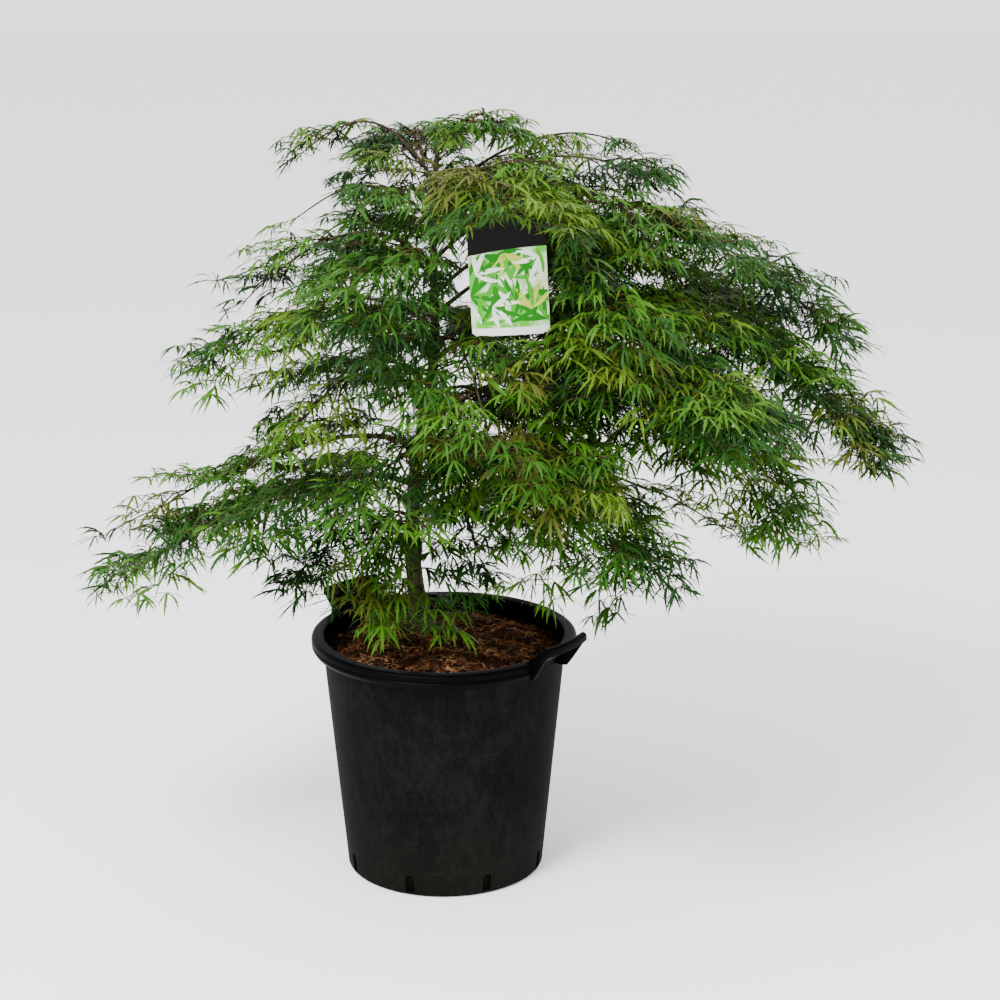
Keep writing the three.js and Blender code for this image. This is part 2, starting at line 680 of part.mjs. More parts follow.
makePot();
makeSoil();
for (const [name, azimuth] of Object.entries(handleSize.azimuths)) makeHandle(name, azimuth);
makeTrunk();
remember('trunk', 'limb', ballsAlong(trunkCurve, trunkRadius));
layOutArms();
const random = seededRandom(growth.seed + 1);
spines.forEach((owner, index) => {
  const solid = makeMass(owner, random);
  const green = colours.leaf[index % colours.leaf.length];
  addPiece(`leaves_${owner.name}`, toGeometry(solid), green, finishes.leaf);
});
makeLabel();

export default tree;
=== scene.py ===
import math

import bmesh
import bpy
import numpy as np
from mathutils import Matrix, Vector, noise


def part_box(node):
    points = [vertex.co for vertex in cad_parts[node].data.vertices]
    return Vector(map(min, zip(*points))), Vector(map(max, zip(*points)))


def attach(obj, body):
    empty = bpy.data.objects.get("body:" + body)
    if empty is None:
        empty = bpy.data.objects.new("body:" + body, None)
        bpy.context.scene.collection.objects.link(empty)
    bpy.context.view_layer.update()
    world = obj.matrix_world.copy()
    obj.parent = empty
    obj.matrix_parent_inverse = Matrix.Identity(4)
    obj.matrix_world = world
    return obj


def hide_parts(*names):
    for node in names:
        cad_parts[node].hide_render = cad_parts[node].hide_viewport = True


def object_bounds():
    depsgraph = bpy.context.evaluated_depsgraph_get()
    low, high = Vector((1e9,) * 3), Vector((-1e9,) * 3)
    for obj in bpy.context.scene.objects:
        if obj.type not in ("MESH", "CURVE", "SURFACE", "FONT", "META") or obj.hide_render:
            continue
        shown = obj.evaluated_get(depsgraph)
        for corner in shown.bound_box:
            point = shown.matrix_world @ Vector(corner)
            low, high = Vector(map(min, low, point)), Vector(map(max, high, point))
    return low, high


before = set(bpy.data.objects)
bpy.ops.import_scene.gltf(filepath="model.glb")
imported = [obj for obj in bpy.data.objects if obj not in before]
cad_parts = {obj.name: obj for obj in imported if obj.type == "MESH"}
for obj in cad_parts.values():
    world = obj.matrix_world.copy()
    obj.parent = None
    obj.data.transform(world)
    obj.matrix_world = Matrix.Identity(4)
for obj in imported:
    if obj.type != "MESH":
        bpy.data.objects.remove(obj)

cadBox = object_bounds()
up = np.array([0.0, 0.0, 1.0])
mm = 0.001


def rad(degrees):
    return math.radians(degrees)


def flatAhead(turn):
    return np.array([math.cos(turn), math.sin(turn), 0])


def aboutUp(turn):
    return np.array(Matrix.Rotation(turn, 3, "Z"))


class Wire:
    # a socket that plain expressions can be written with
    def __init__(self, paint, socket):
        self.paint = paint
        self.socket = socket

    def math(self, operation, other):
        return self.paint.node("ShaderNodeMath", {"operation": operation}, {0: self, 1: other})

    def __add__(self, other):
        return self.math("ADD", other)

    __radd__ = __add__

    def __sub__(self, other):
        return self.math("SUBTRACT", other)

    def __mul__(self, other):
        return self.math("MULTIPLY", other)

    __rmul__ = __mul__

    def __truediv__(self, other):
        return self.math("DIVIDE", other)


class Paint:
    def __init__(self, name, colour=(0.5, 0.5, 0.5), roughness=0.5, specular=0.5):
        self.material = bpy.data.materials.new(name)
        self.material.use_nodes = True
        self.tree = self.material.node_tree
        self.shader = next(n for n in self.tree.nodes if n.type == "BSDF_PRINCIPLED")
        self.fix("Base Color", (*colour, 1))
        self.fix("Roughness", roughness)
        self.fix("Specular IOR Level", specular)
        self.material.diffuse_color = (*colour, 1)

    def fix(self, socket, value):
        self.shader.inputs[socket].default_value = value

    def node(self, kind, settings=None, inputs=None, output=0):
        made = self.tree.nodes.new(kind)
        for key, value in (settings or {}).items():
            if key == "stops":
                ramp = made.color_ramp
                while len(ramp.elements) < len(value):
                    ramp.elements.new(0.5)
                for element, (place, colour) in zip(ramp.elements, value):
                    element.position = place
                    element.color = (*colour, 1)
            else:
                setattr(made, key, value)
        for key, value in (inputs or {}).items():
            if isinstance(value, Wire):
                self.tree.links.new(value.socket, made.inputs[key])
            else:
                made.inputs[key].default_value = value
        return Wire(self, made.outputs[output])

    def feed(self, socket, wire):
        self.tree.links.new(wire.socket, self.shader.inputs[socket])

    def place(self, stretch=(1, 1, 1)):
        where = self.node("ShaderNodeTexCoord", output="Object")
        return self.node("ShaderNodeMapping", None, {"Vector": where, "Scale": stretch})

    def axis(self, name, vector):
        return self.node("ShaderNodeSeparateXYZ", None, {0: vector}, name)

    def noise(self, vector, scale, detail=3, rough=0.5, twist=0):
        values = {"Vector": vector, "Scale": scale, "Detail": detail, "Roughness": rough, "Distortion": twist}
        return self.node("ShaderNodeTexNoise", None, values, "Fac")

    def ramp(self, factor, stops):
        return self.node("ShaderNodeValToRGB", {"stops": stops}, {"Fac": factor})

    def blend(self, factor, first, second):
        pick = lambda c: c if isinstance(c, Wire) else (*c, 1)
        values = {0: factor, 6: pick(first), 7: pick(second)}
        return self.node("ShaderNodeMix", {"data_type": "RGBA"}, values, 2)

    def smooth(self, value, low, high, first=0, last=1):
        values = {0: value, 1: low, 2: high, 3: first, 4: last}
        return self.node("ShaderNodeMapRange", {"interpolation_type": "SMOOTHSTEP"}, values)

    def bump(self, height, strength, distance):
        values = {"Height": height, "Strength": strength, "Distance": distance}
        self.feed("Normal", self.node("ShaderNodeBump", None, values))

    def mottle(self, scale, detail, rough, first, second):
        tone = self.noise(self.place(), scale, detail, rough)
        self.feed("Base Color", self.blend(tone, first, second))


class Heap:
    # gathers many small shapes that become one piece
    def __init__(self):
        self.points = []
        self.faces = []
        self.count = 0

    def add(self, points, faces):
        self.points.append(np.asarray(points, float).reshape(-1, 3))
        self.faces.extend([tuple(i + self.count for i in face) for face in faces])
        self.count += len(self.points[-1])

    def mesh(self, name):
        made = bpy.data.meshes.new(name)
        made.from_pydata(np.concatenate(self.points).tolist(), [], self.faces)
        made.update()
        return made


def linked(name, data):
    made = bpy.data.objects.new(name, data)
    bpy.context.scene.collection.objects.link(made)
    return made


def addPiece(name, mesh, paints, nodes, smooth=True):
    piece = linked(name, mesh)
    for paint in paints if isinstance(paints, (list, tuple)) else [paints]:
        mesh.materials.append(paint.material)
    if smooth:
        mesh.polygons.foreach_set("use_smooth", [True] * len(mesh.polygons))
    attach(piece, "root")
    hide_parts(*nodes)
    return piece


def triangleMesh(name, points, corners):
    made = bpy.data.meshes.new(name)
    count = len(corners)
    made.vertices.add(len(points))
    made.vertices.foreach_set("co", points.astype(np.float32).ravel())
    made.loops.add(3 * count)
    made.loops.foreach_set("vertex_index", corners.astype(np.int32).ravel())
    made.polygons.add(count)
    made.polygons.foreach_set("loop_start", np.arange(0, 3 * count, 3, dtype=np.int32))
    made.update(calc_edges=True)
    return made


def ringFaces(rows, sides):
    # faces between rows of points that each close on themselves
    faces = []
    for row in range(rows - 1):
        for i in range(sides):
            j = (i + 1) % sides
            faces.append((row * sides + i, row * sides + j, (row + 1) * sides + j, (row + 1) * sides + i))
    return faces


def lathe(profile, sides):
    points = []
    for radius, height in profile:
        for i in range(sides):
            turn = 2 * math.pi * i / sides
            points.append((radius * math.cos(turn), radius * math.sin(turn), height))
    return points, ringFaces(len(profile), sides)


def tube(points, radii, sides, relief=None):
    points = np.asarray(points, float)
    ahead = np.gradient(points, axis=0)
    ahead /= np.linalg.norm(ahead, axis=1)[:, None]
    start = np.cross(ahead[0], up if abs(ahead[0][2]) < 0.9 else np.array([1.0, 0, 0]))
    across = start / np.linalg.norm(start)
    rows = []
    for i, (point, radius) in enumerate(zip(points, radii)):
        across = across - ahead[i] * across.dot(ahead[i])
        across /= np.linalg.norm(across)
        other = np.cross(ahead[i], across)
        for k in range(sides):
            turn = 2 * math.pi * k / sides
            out = across * math.cos(turn) + other * math.sin(turn)
            swell = relief(point, out, radius) if relief else 0
            rows.append(point + out * (radius + swell))
    faces = ringFaces(len(points), sides)
    faces.append(tuple(reversed(range(sides))))
    last = (len(points) - 1) * sides
    faces.append(tuple(range(last, last + sides)))
    return np.array(rows), faces


def tubeFromMm(points, radii, sides, relief=None):
    rows, faces = tube(points, radii, sides, relief)
    return rows * mm, faces


class Path:
    # a line of close points that is read by its share of the length
    def __init__(self, points):
        self.points = np.asarray(points, float)
        steps = np.linalg.norm(np.diff(self.points, axis=0), axis=1)
        self.run = np.concatenate([[0], np.cumsum(steps)])
        self.length = self.run[-1]

    def at(self, share):
        where = np.clip(share, 0, 1) * self.length
        return np.array([np.interp(where, self.run, self.points[:, k]) for k in range(3)]).T

    def ahead(self, share):
        step = self.at(min(1, share + 0.01)) - self.at(max(0, share - 0.01))
        return step / np.linalg.norm(step)


def bezier(corners, steps=60):
    t = np.linspace(0, 1, steps + 1)[:, None]
    corners = [np.asarray(c, float) for c in corners]
    while len(corners) > 1:
        corners = [a * (1 - t) + b * t for a, b in zip(corners, corners[1:])]
    return Path(corners[0])


# the same numbers as the solids' own generator gives
def seededRandom(seed):
    state = seed
    whole = 0xFFFFFFFF

    def step():
        nonlocal state
        state = (state + 0x6D2B79F5) & whole
        mixed = ((state ^ (state >> 15)) * (1 | state)) & whole
        mixed = ((mixed + ((mixed ^ (mixed >> 7)) * (61 | mixed))) ^ mixed) & whole
        return (mixed ^ (mixed >> 14)) / 4294967296
    return step


view = {
    "place": (0.080, -3.335, 1.491), "pitch": 15.83, "focal": 2457, "frame": 1000, "sensor": 36, "far": 60,
}

camera = linked("camera", bpy.data.cameras.new("camera"))
camera.location = view["place"]
camera.rotation_euler = (rad(90 - view["pitch"]), 0, 0)
camera.data.sensor_width = view["sensor"]
camera.data.lens = view["focal"] / view["frame"] * view["sensor"]
camera.data.clip_end = view["far"]
bpy.context.scene.camera = camera

# each light: its place, its target, its size in metres and its power
studio = {
    "floor": 0.92, "side": 14, "sky": (1, 1, 1), "skyStrength": 2.1,
    "lights": {
        "keyLight": ((-1.4, -2.2, 3.4), (0, 0, 0.6), 1.5, 300),
        "fillLight": ((2.6, -1.6, 1.6), (0, 0, 0.5), 2.0, 45),
    },
}


def addLight(name, place, target, size, power):
    lamp = bpy.data.lights.new(name, "AREA")
    lamp.shape = "DISK"
    lamp.size = size
    lamp.energy = power
    holder = linked(name, lamp)
    holder.location = place
    holder.rotation_euler = (Vector(target) - Vector(place)).to_track_quat("-Z", "Y").to_euler()


def makeStudio():
    paint = Paint("floorPaint", (studio["floor"],) * 3, 0.9, 0.1)
    side = studio["side"]
    mesh = bpy.data.meshes.new("floor")
    corners = [(-side, -side, 0), (side, -side, 0), (side, side, 0), (-side, side, 0)]
    mesh.from_pydata(corners, [], [(0, 1, 2, 3)])
    mesh.materials.append(paint.material)
    floor = linked("floor", mesh)
    world = bpy.data.worlds.new("studioSky")
    world.use_nodes = True
    sky = next(n for n in world.node_tree.nodes if n.type == "BACKGROUND")
    sky.inputs["Color"].default_value = (*studio["sky"], 1)
    sky.inputs["Strength"].default_value = studio["skyStrength"]
    bpy.context.scene.world = world
    for name, facts in studio["lights"].items():
        addLight(name, *facts)


makeStudio()
print("studio ready")


pot = {
    "height": 0.350, "baseRadius": 0.142, "baseChamfer": 0.004, "neckRadius": 0.173, "neckHeight": 0.326,
    "wall": 0.003, "floor": 0.004, "rimRadius": 0.190, "sides": 192, "axis": 0.0001,
    # inwards from the foot's edge and up
    "footLine": ((0.012, 0.0), (0.004, 0.0006), (0.001, 0.002)),
    # outwards from the neck and up: a step, then two round beads
    "rimLine": (
        (0.001, 0.000), (0.008, 0.0012), (0.0135, 0.0036), (0.0155, 0.0066), (0.0166, 0.0092),
        (0.0156, 0.0112), (0.0147, 0.0124), (0.0154, 0.0138), (0.0170, 0.0156), (0.0169, 0.0190),
        (0.0160, 0.0216), (0.0140, 0.0234), (0.0105, 0.0240), (0.0070, 0.0234), (0.0040, 0.0240),
    ),
}
slots = {
    "count": 8, "first": -109.5, "width": 0.013, "height": 0.026, "corner": 0.003, "foot": 0.005,
    "reach": (0.128, 0.155),
}
handles = {
    "azimuths": {"handle_right": -36, "handle_left": 133}, "width": 0.086, "wallRadius": 0.176,
    "pivotRadius": 0.190, "lipRadius": 0.219, "lipHeight": 0.378, "sheet": 0.004, "gusset": 0.0045,
    "gap": 0.0003, "past": 0.005, "round": 0.0009,
}


def potRadiusAt(z):
    slope = (pot["neckRadius"] - pot["baseRadius"]) / (pot["neckHeight"] - pot["baseChamfer"])
    return pot["baseRadius"] + slope * (z - pot["baseChamfer"])


def potPaint():
    paint = Paint("potPlastic", (0.004, 0.004, 0.0038), 0.5, 0.015)
    where = paint.place()
    cloud = paint.noise(where, 9, 4, 0.6, 0.4)
    speckle = paint.noise(where, 420, 2, 0.6)
    mottle = paint.noise(paint.place((1, 1, 0.5)), 90, 4, 0.7)
    dust = paint.smooth(cloud * 0.5 + mottle * 0.5, 0.40, 0.66)
    # level scuffs, as from other pots rubbing past
    scuffs = paint.noise(paint.place((1, 1, 26)), 16, 3, 0.7)
    inClouds = paint.smooth(scuffs, 0.60, 0.68) * paint.smooth(cloud, 0.42, 0.58)
    scratched = inClouds * paint.smooth(speckle, 0.45, 0.6)
    height = paint.axis("Z", where)
    onWall = paint.smooth(height, pot["neckHeight"] - 0.004, pot["neckHeight"] + 0.002, 1, 0)
    low = paint.smooth(height, 0.0, 0.14, 1, 0)
    plain = paint.blend(dust, (0.0022, 0.0022, 0.0020), (0.0062, 0.0061, 0.0054))
    grainy = paint.blend(paint.smooth(speckle, 0.5, 0.7) * 0.5, plain, (0.0085, 0.0083, 0.0074))
    dusty = paint.blend(low * 0.3, grainy, (0.0085, 0.0070, 0.0055))
    worn = paint.blend(scratched * 0.5, dusty, (0.017, 0.017, 0.0155))
    # painted shade: above the neck the rim and handles are coloured near-black, darker than the wall, to hold
    # down their reflection
    paint.feed("Base Color", paint.blend(onWall, (0.0013, 0.0013, 0.0014), worn))
    paint.feed("Roughness", 0.36 + onWall * 0.26 + dust * 0.06)
    paint.bump(speckle * 0.5 + mottle * 0.7 + cloud * 0.4, 0.22, 0.0012)
    return paint


def cutBy(piece, cutter):
    cut = piece.modifiers.new("cut", "BOOLEAN")
    cut.operation = "DIFFERENCE"
    cut.solver = "EXACT"
    cut.object = cutter
    bakeModifiers(piece)
    mesh = cutter.data
    bpy.data.objects.remove(cutter)
    bpy.data.meshes.remove(mesh)


def bakeModifiers(piece):
    seen = bpy.context.evaluated_depsgraph_get()
    shaped = bpy.data.meshes.new_from_object(piece.evaluated_get(seen))
    old = piece.data
    piece.modifiers.clear()
    piece.data = shaped
    bpy.data.meshes.remove(old)


def mendMesh(mesh, fill=False):
    shape = bmesh.new()
    shape.from_mesh(mesh)
    if fill:
        bmesh.ops.holes_fill(shape, edges=shape.edges, sides=0)
    bmesh.ops.recalc_face_normals(shape, faces=shape.faces)
    shape.to_mesh(mesh)
    shape.free()


def looseObject(name, points, faces):
    mesh = bpy.data.meshes.new(name)
    mesh.from_pydata([tuple(p) for p in points], [], faces)
    mendMesh(mesh)
    return linked(name, mesh)


def shadeRound(mesh, sharp):
    mesh.polygons.foreach_set("use_smooth", [True] * len(mesh.polygons))
    mesh.set_sharp_from_angle(angle=rad(sharp))


def bentPrism(outline, half, azimuth, steps=14):
    # an outline of radius and height carried round the pot's axis
    points = []
    count = len(outline)
    for i in range(steps + 1):
        turn = rad(azimuth) - (2 * i / steps - 1) * half / handles["pivotRadius"]
        points += [(r * math.cos(turn), r * math.sin(turn), z) for r, z in outline]
    faces = ringFaces(steps + 1, count)
    faces.append(tuple(range(count)))
    faces.append(tuple(reversed(range(steps * count, (steps + 1) * count))))
    return points, faces


def finishEdges(piece, width):
    soft = piece.modifiers.new("edges", "BEVEL")
    soft.width = width
    soft.segments = 3
    soft.limit_method = "ANGLE"
    soft.angle_limit = rad(35)
    soft.harden_normals = False
    bakeModifiers(piece)
    shadeRound(piece.data, 38)


def makePot(paint):
    height, rim, neck = pot["height"], pot["rimRadius"], pot["neckHeight"]
    outer = [(pot["axis"], 0.0)] + [(pot["baseRadius"] - r, z) for r, z in pot["footLine"]]
    outer += [(pot["baseRadius"], pot["baseChamfer"])]
    outer += [(potRadiusAt(z), z) for z in np.linspace(0.012, neck - 0.006, 26)]
    outer += [(pot["neckRadius"] + r, neck + z) for r, z in pot["rimLine"]]
    heights = np.linspace(height - 0.0008, pot["floor"] + 0.004, 20)
    inside = [(potRadiusAt(z) - pot["wall"], z) for z in heights]
    profile = outer + inside + [(potRadiusAt(0.006) - 0.007, pot["floor"]), (pot["axis"], pot["floor"])]
    profile = [(min(r, rim), min(z, height)) for r, z in profile]
    points, faces = lathe(profile, pot["sides"])
    piece = looseObject("potBody", points, faces)
    mendMesh(piece.data, True)
    heap = Heap()
    side, corner, foot = slots["width"] / 2, slots["corner"], slots["foot"]
    top = foot + slots["height"]
    outline = [(-side, foot), (side, foot), (side, top - corner), (side - corner, top)]
    outline += [(corner - side, top), (-side, top - corner)]
    for i in range(slots["count"]):
        turn = rad(slots["first"] + 360 / slots["count"] * i)
        out = flatAhead(turn)
        along = np.array([-out[1], out[0], 0])
        rows = [out * r + along * s + up * z for r in slots["reach"] for s, z in outline]
        ends = [tuple(range(6)), tuple(reversed(range(6, 12)))]
        heap.add(rows, [(k, (k + 1) % 6, (k + 1) % 6 + 6, k + 6) for k in range(6)] + ends)
    for azimuth in handles["azimuths"].values():
        low, high = neck - handles["past"], height + handles["past"]
        near, far = handles["wallRadius"], rim + handles["past"]
        band = [(near, low), (far, low), (far, high), (near, high)]
        heap.add(*bentPrism(band, handles["width"] / 2 + handles["gap"], azimuth))
    cutter = looseObject("potCutter", np.concatenate(heap.points), heap.faces)
    cutBy(piece, cutter)
    shadeRound(piece.data, 40)
    piece.data.materials.append(paint.material)
    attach(piece, "root")
    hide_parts("pot")


def makeHandle(name, azimuth, paint):
    wall, lip, top = handles["wallRadius"] + 0.0006, handles["lipRadius"], handles["lipHeight"]
    sheet, half, gusset = handles["sheet"], handles["width"] / 2, handles["gusset"]
    seat, neck = pot["height"] - sheet, pot["neckHeight"]
    outline = [
        (wall, seat - 2 * sheet), (wall + sheet, seat - 2 * sheet), (wall + sheet, seat - sheet),
        (lip - 1.5 * sheet, top - 1.4 * sheet), (lip - sheet, top - 3 * sheet), (lip, top - 3 * sheet),
        (lip, top - 1.2 * sheet), (lip - 0.4 * sheet, top - 0.3 * sheet), (lip - 1.2 * sheet, top),
        (lip - 1.8 * sheet, top), (lip - 3 * sheet, top - sheet), (wall, pot["height"] - 0.001),
    ]
    web = [
        (wall, neck + handles["gap"]), (pot["rimRadius"], neck + handles["gap"]),
        (pot["rimRadius"] + 0.010, neck + 0.014), (lip - 0.5 * sheet, top - 2.8 * sheet),
        (lip - 1.6 * sheet, top - sheet), (wall, pot["height"] - 0.002),
    ]
    heap = Heap()
    heap.add(*bentPrism(outline, half, azimuth, 26))
    shift = (half - gusset / 2) / handles["pivotRadius"]
    for hand in (-1, 1):
        heap.add(*bentPrism(web, gusset / 2, azimuth + hand * math.degrees(shift), 2))
    piece = looseObject(name + "Grip", np.concatenate(heap.points), heap.faces)
    finishEdges(piece, handles["round"])
    piece.data.materials.append(paint.material)
    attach(piece, "root")
    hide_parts(name)


plastic = potPaint()
makePot(plastic)
for handleName, handleAzimuth in handles["azimuths"].items():
    makeHandle(handleName, handleAzimuth, plastic)
print("pot ready")


soil = {
    "edge": 0.325, "crown": 0.338, "crownRadius": 0.096, "gap": 0.0033, "rough": 0.0032,
    "sunk": 0.0015, "foot": 0.0003, "sides": 180, "rings": 74,
}


def soilRadius(z):
    return potRadiusAt(z) - soil["gap"]


def soilHeight(x, y):
    radius = math.hypot(x, y)
    edgeRadius = soilRadius(soil["edge"])
    share = min(1, max(0, (radius - soil["crownRadius"]) / (edgeRadius - soil["crownRadius"])))
    level = soil["crown"] + (soil["edge"] - soil["crown"]) * share * share * (3 - 2 * share)
    spot = Vector((x, y, 0))
    grain = noise.noise(spot * 55) + 0.6 * noise.noise(spot * 140) + 0.45 * noise.noise(spot * 320)
    return level + soil["rough"] * grain * (1 - 0.5 * share) - soil["sunk"]


def soilPaint():
    paint = Paint("compost", (0.02, 0.008, 0.004), 0.95, 0.05)
    where = paint.place()
    crumbs = paint.noise(where, 150, 5, 0.65)
    patches = paint.noise(where, 22, 3, 0.6)
    dark, brown = (0.005, 0.0027, 0.0017), (0.024, 0.0096, 0.0048)
    red, pale = (0.060, 0.0220, 0.0100), (0.115, 0.054, 0.0240)
    colour = paint.ramp(crumbs, [(0.34, dark), (0.50, brown), (0.62, red), (0.74, pale)])
    mixed = paint.blend(paint.smooth(patches, 0.44, 0.56) * 0.8, colour, (0.0065, 0.0030, 0.0018))
    # painted shade: low down, where it shows through the drain slots, the compost is darkened as if in the
    # pot's shadow
    paintedSlotShade = paint.smooth(paint.axis("Z", where), 0.03, 0.06, 1, 0)
    paint.feed("Base Color", paint.blend(paintedSlotShade, mixed, (0.002, 0.0015, 0.001)))
    paint.bump(crumbs + paint.noise(where, 420, 3, 0.6) * 0.5, 0.7, 0.003)
    return paint


def makeSoil():
    foot = pot["floor"] + soil["foot"]
    wall = [(pot["axis"], foot), (soilRadius(foot), foot)]
    wall += [(soilRadius(z), z) for z in np.linspace(0.03, soil["edge"] - 0.003, 10)]
    sides = soil["sides"]
    edge = soilRadius(soil["edge"])
    top = [(edge * s, 0) for s in np.linspace(1, 0.002, soil["rings"])]
    points, faces = lathe(wall + top, sides)
    points = [list(p) for p in points]
    for i in range(len(wall) * sides, len(points)):
        points[i][2] = soilHeight(points[i][0], points[i][1])
    heap = Heap()
    heap.add(points, faces)
    return addPiece("compostFill", heap.mesh("compostFill"), soilPaint(), ["soil"])


# length, thick, chip and lift are the least and how much more it may be, tints a colour and its share
litter = {
    "seed": 5, "fibres": 3000, "chips": 900, "inset": 0.004, "bend": 0.55, "knots": 5,
    "length": (0.007, 0.024), "thick": (0.00024, 0.0005), "chip": (0.0016, 0.0034),
    "lift": (0.0012, 0.0035),
    "tints": {
        "coirPale": ((0.260, 0.140, 0.062), 0.26), "coirRed": ((0.130, 0.044, 0.017), 0.46),
        "coirDark": ((0.016, 0.007, 0.004), 0.28),
    },
}


def makeFibres():
    random = np.random.default_rng(litter["seed"])
    edge = soilRadius(soil["edge"]) - litter["inset"]
    knots = litter["knots"]

    def anyTurn():
        return 2 * math.pi * random.random()

    def anyPlace():
        radius = edge * math.sqrt(random.random())
        turn = anyTurn()
        return radius * math.cos(turn), radius * math.sin(turn)

    def anySize(kind, power):
        least, more = litter[kind]
        return least + more * random.random() ** power

    for name, (colour, share) in litter["tints"].items():
        heap = Heap()
        for _ in range(int(litter["fibres"] * share)):
            middle = anyPlace()
            heading = anyTurn()
            length = anySize("length", 1.6)
            bend = random.normal(0, litter["bend"])
            thick = anySize("thick", 2)
            line = []
            for k in range(knots):
                s = (k / (knots - 1) - 0.5) * length
                a = heading + bend * s / length
                x, y = middle[0] + s * math.cos(a), middle[1] + s * math.sin(a)
                low, more = litter["lift"]
                lift = low + more * random.random() * (1 - abs(2 * k / (knots - 1) - 1))
                line.append((x, y, soilHeight(x, y) + lift))
            if max(math.hypot(p[0], p[1]) for p in line) < edge:
                heap.add(*tube(line, [thick] * knots, 3))
        for _ in range(int(litter["chips"] * share)):
            x, y = anyPlace()
            size = anySize("chip", 2)
            corners = random.normal(0, 1, (6, 3)) * np.array([1, 0.7, 0.45]) * size * 0.5
            centre = np.array([x, y, soilHeight(x, y) + litter["lift"][0]])
            frameTurn = aboutUp(anyTurn())
            order = [(0, 1, 2), (0, 2, 3), (0, 3, 4), (0, 4, 1), (5, 2, 1), (5, 3, 2), (5, 4, 3), (5, 1, 4)]
            ring = np.array([[0, 0, 0.5], [1, 0, 0], [0, 0.7, 0], [-1, 0, 0], [0, -0.7, 0], [0, 0, -0.4]])
            heap.add(centre + (ring * size + corners * 0.5) @ frameTurn.T, order)
        paint = Paint(name, colour, 0.9, 0.06)
        tone = paint.smooth(paint.noise(paint.place(), 30, 3, 0.6), 0.36, 0.64)
        darker, paler = [tuple(c * k for c in colour) for k in (0.3, 1.5)]
        paint.feed("Base Color", paint.blend(tone, darker, paler))
        addPiece(name, heap.mesh(name), paint, ["soil"], smooth=False)


makeSoil()
makeFibres()
print("soil ready")


# the stem and arms follow the same lines as the solids
stem = {
    "line": [(-31, 44, 330), (-44, 40, 430), (-41, 36, 570), (-12, 28, 750), (-12, 20, 900), (-6, 12, 1036)],
    "footRadius": 12.5, "tipRadius": 3.2, "flare": 5.5, "flareHeight": 34, "below": 2,
    "toes": 0.26, "toeHeight": 13, "stations": 260, "sides": 40,
}
arms = {
    "leader": (1036, -30, 84, 1088, 36, 14, 0, 0.9),
    "crest_left": (988, 170, 150, 1052, 94, 36, 0, 0.4),
    "crest_right": (962, 4, 270, 1036, 92, 46, 0, 0.35),
    "crest_front": (972, -64, 320, 968, 96, 56, 0.76, 0.8),
    "crest_back": (944, 100, 240, 1010, 130, 50, 0, 0.9),
    "right_crest": (924, 26, 360, 958, 130, 70, 0, 0.2),
    "right_high": (884, -9, 410, 900, 130, 90, 0.4, 0.2),
    "right_shoulder": (836, 9, 560, 774, 170, 170, 0.46, 0.55),
    "left_high": (930, -148, 200, 966, 90, 40, 0, 0.22),
    "left_upper": (872, 172, 262, 826, 100, 70, 0, 0.15),
    "back_high": (898, 66, 350, 880, 120, 90, 0, 0.7),
    "back_left_high": (850, 130, 300, 850, 110, 80, 0, 0.2),
    "front_high": (904, -42, 370, 862, 110, 90, 0.45, 0.45),
    "front_left_high": (866, -108, 290, 848, 90, 70, 0, 0.45),
    "right_far": (740, 0, 600, 640, 170, 180, 0.5, 1.35),
    "right_front_mid": (764, -36, 480, 722, 120, 120, 0.45, 1.3),
    "left_mid": (786, 179, 300, 742, 80, 80, 0, 0.35),
    "left_lower": (700, -150, 205, 672, 90, 60, 0, 0.5),
    "front_mid": (728, -78, 390, 720, 120, 100, 0.42, 0.45),
    "back_right_high": (806, 26, 500, 768, 130, 120, 0.42, 0.75),
    "back_mid": (716, 94, 390, 676, 110, 100, 0.42, 0.5),
    "back_left_mid": (656, 126, 310, 604, 100, 100, 0.42, 0.25),
    "right_low": (630, -18, 510, 580, 130, 140, 0.5, 1.1),
    "right_front_low": (592, -50, 430, 556, 100, 100, 0.45, 0.9),
    "front_right": (674, -60, 400, 634, 100, 90, 0, 0.6),
    "front_low": (610, -98, 300, 586, 80, 60, 0, 0.35),
    "left_long": (616, -174, 420, 512, 60, 56, 0.45, 0.36),
    "left_sweep": (560, -157, 424, 472, 60, 70, 0.45, 0.75),
    "back_right_mid": (644, 20, 520, 612, 120, 130, 0.45, 1.2),
    "back_low": (576, 104, 350, 490, 80, 90, 0.42, 0.35),
    "back_right_low": (548, 62, 390, 444, 90, 110, 0.42, 0.35),
    "right_hem": (530, 8, 460, 470, 100, 100, 0.5, 0.25),
    "right_front_hem": (506, -30, 310, 486, 100, 60, 0, 0.5),
    "front_hem": (484, -84, 130, 434, 60, 50, 0, 0.8),
    "left_front_hem": (502, -126, 140, 448, 60, 50, 0, 0.9),
    "back_left_low": (524, 152, 300, 460, 70, 70, 0, 0.25),
}
# fill is the share of side twigs kept towards the tip, and above 1 an arm has more of them
armFacts = ("foot", "azimuth", "reach", "tip", "lift", "droop", "bough", "fill")
arms = {name: dict(zip(armFacts, values)) for name, values in arms.items()}
armBend = {"rise": 0.34, "fall": 0.3, "sway": 0.07, "seed": 11}


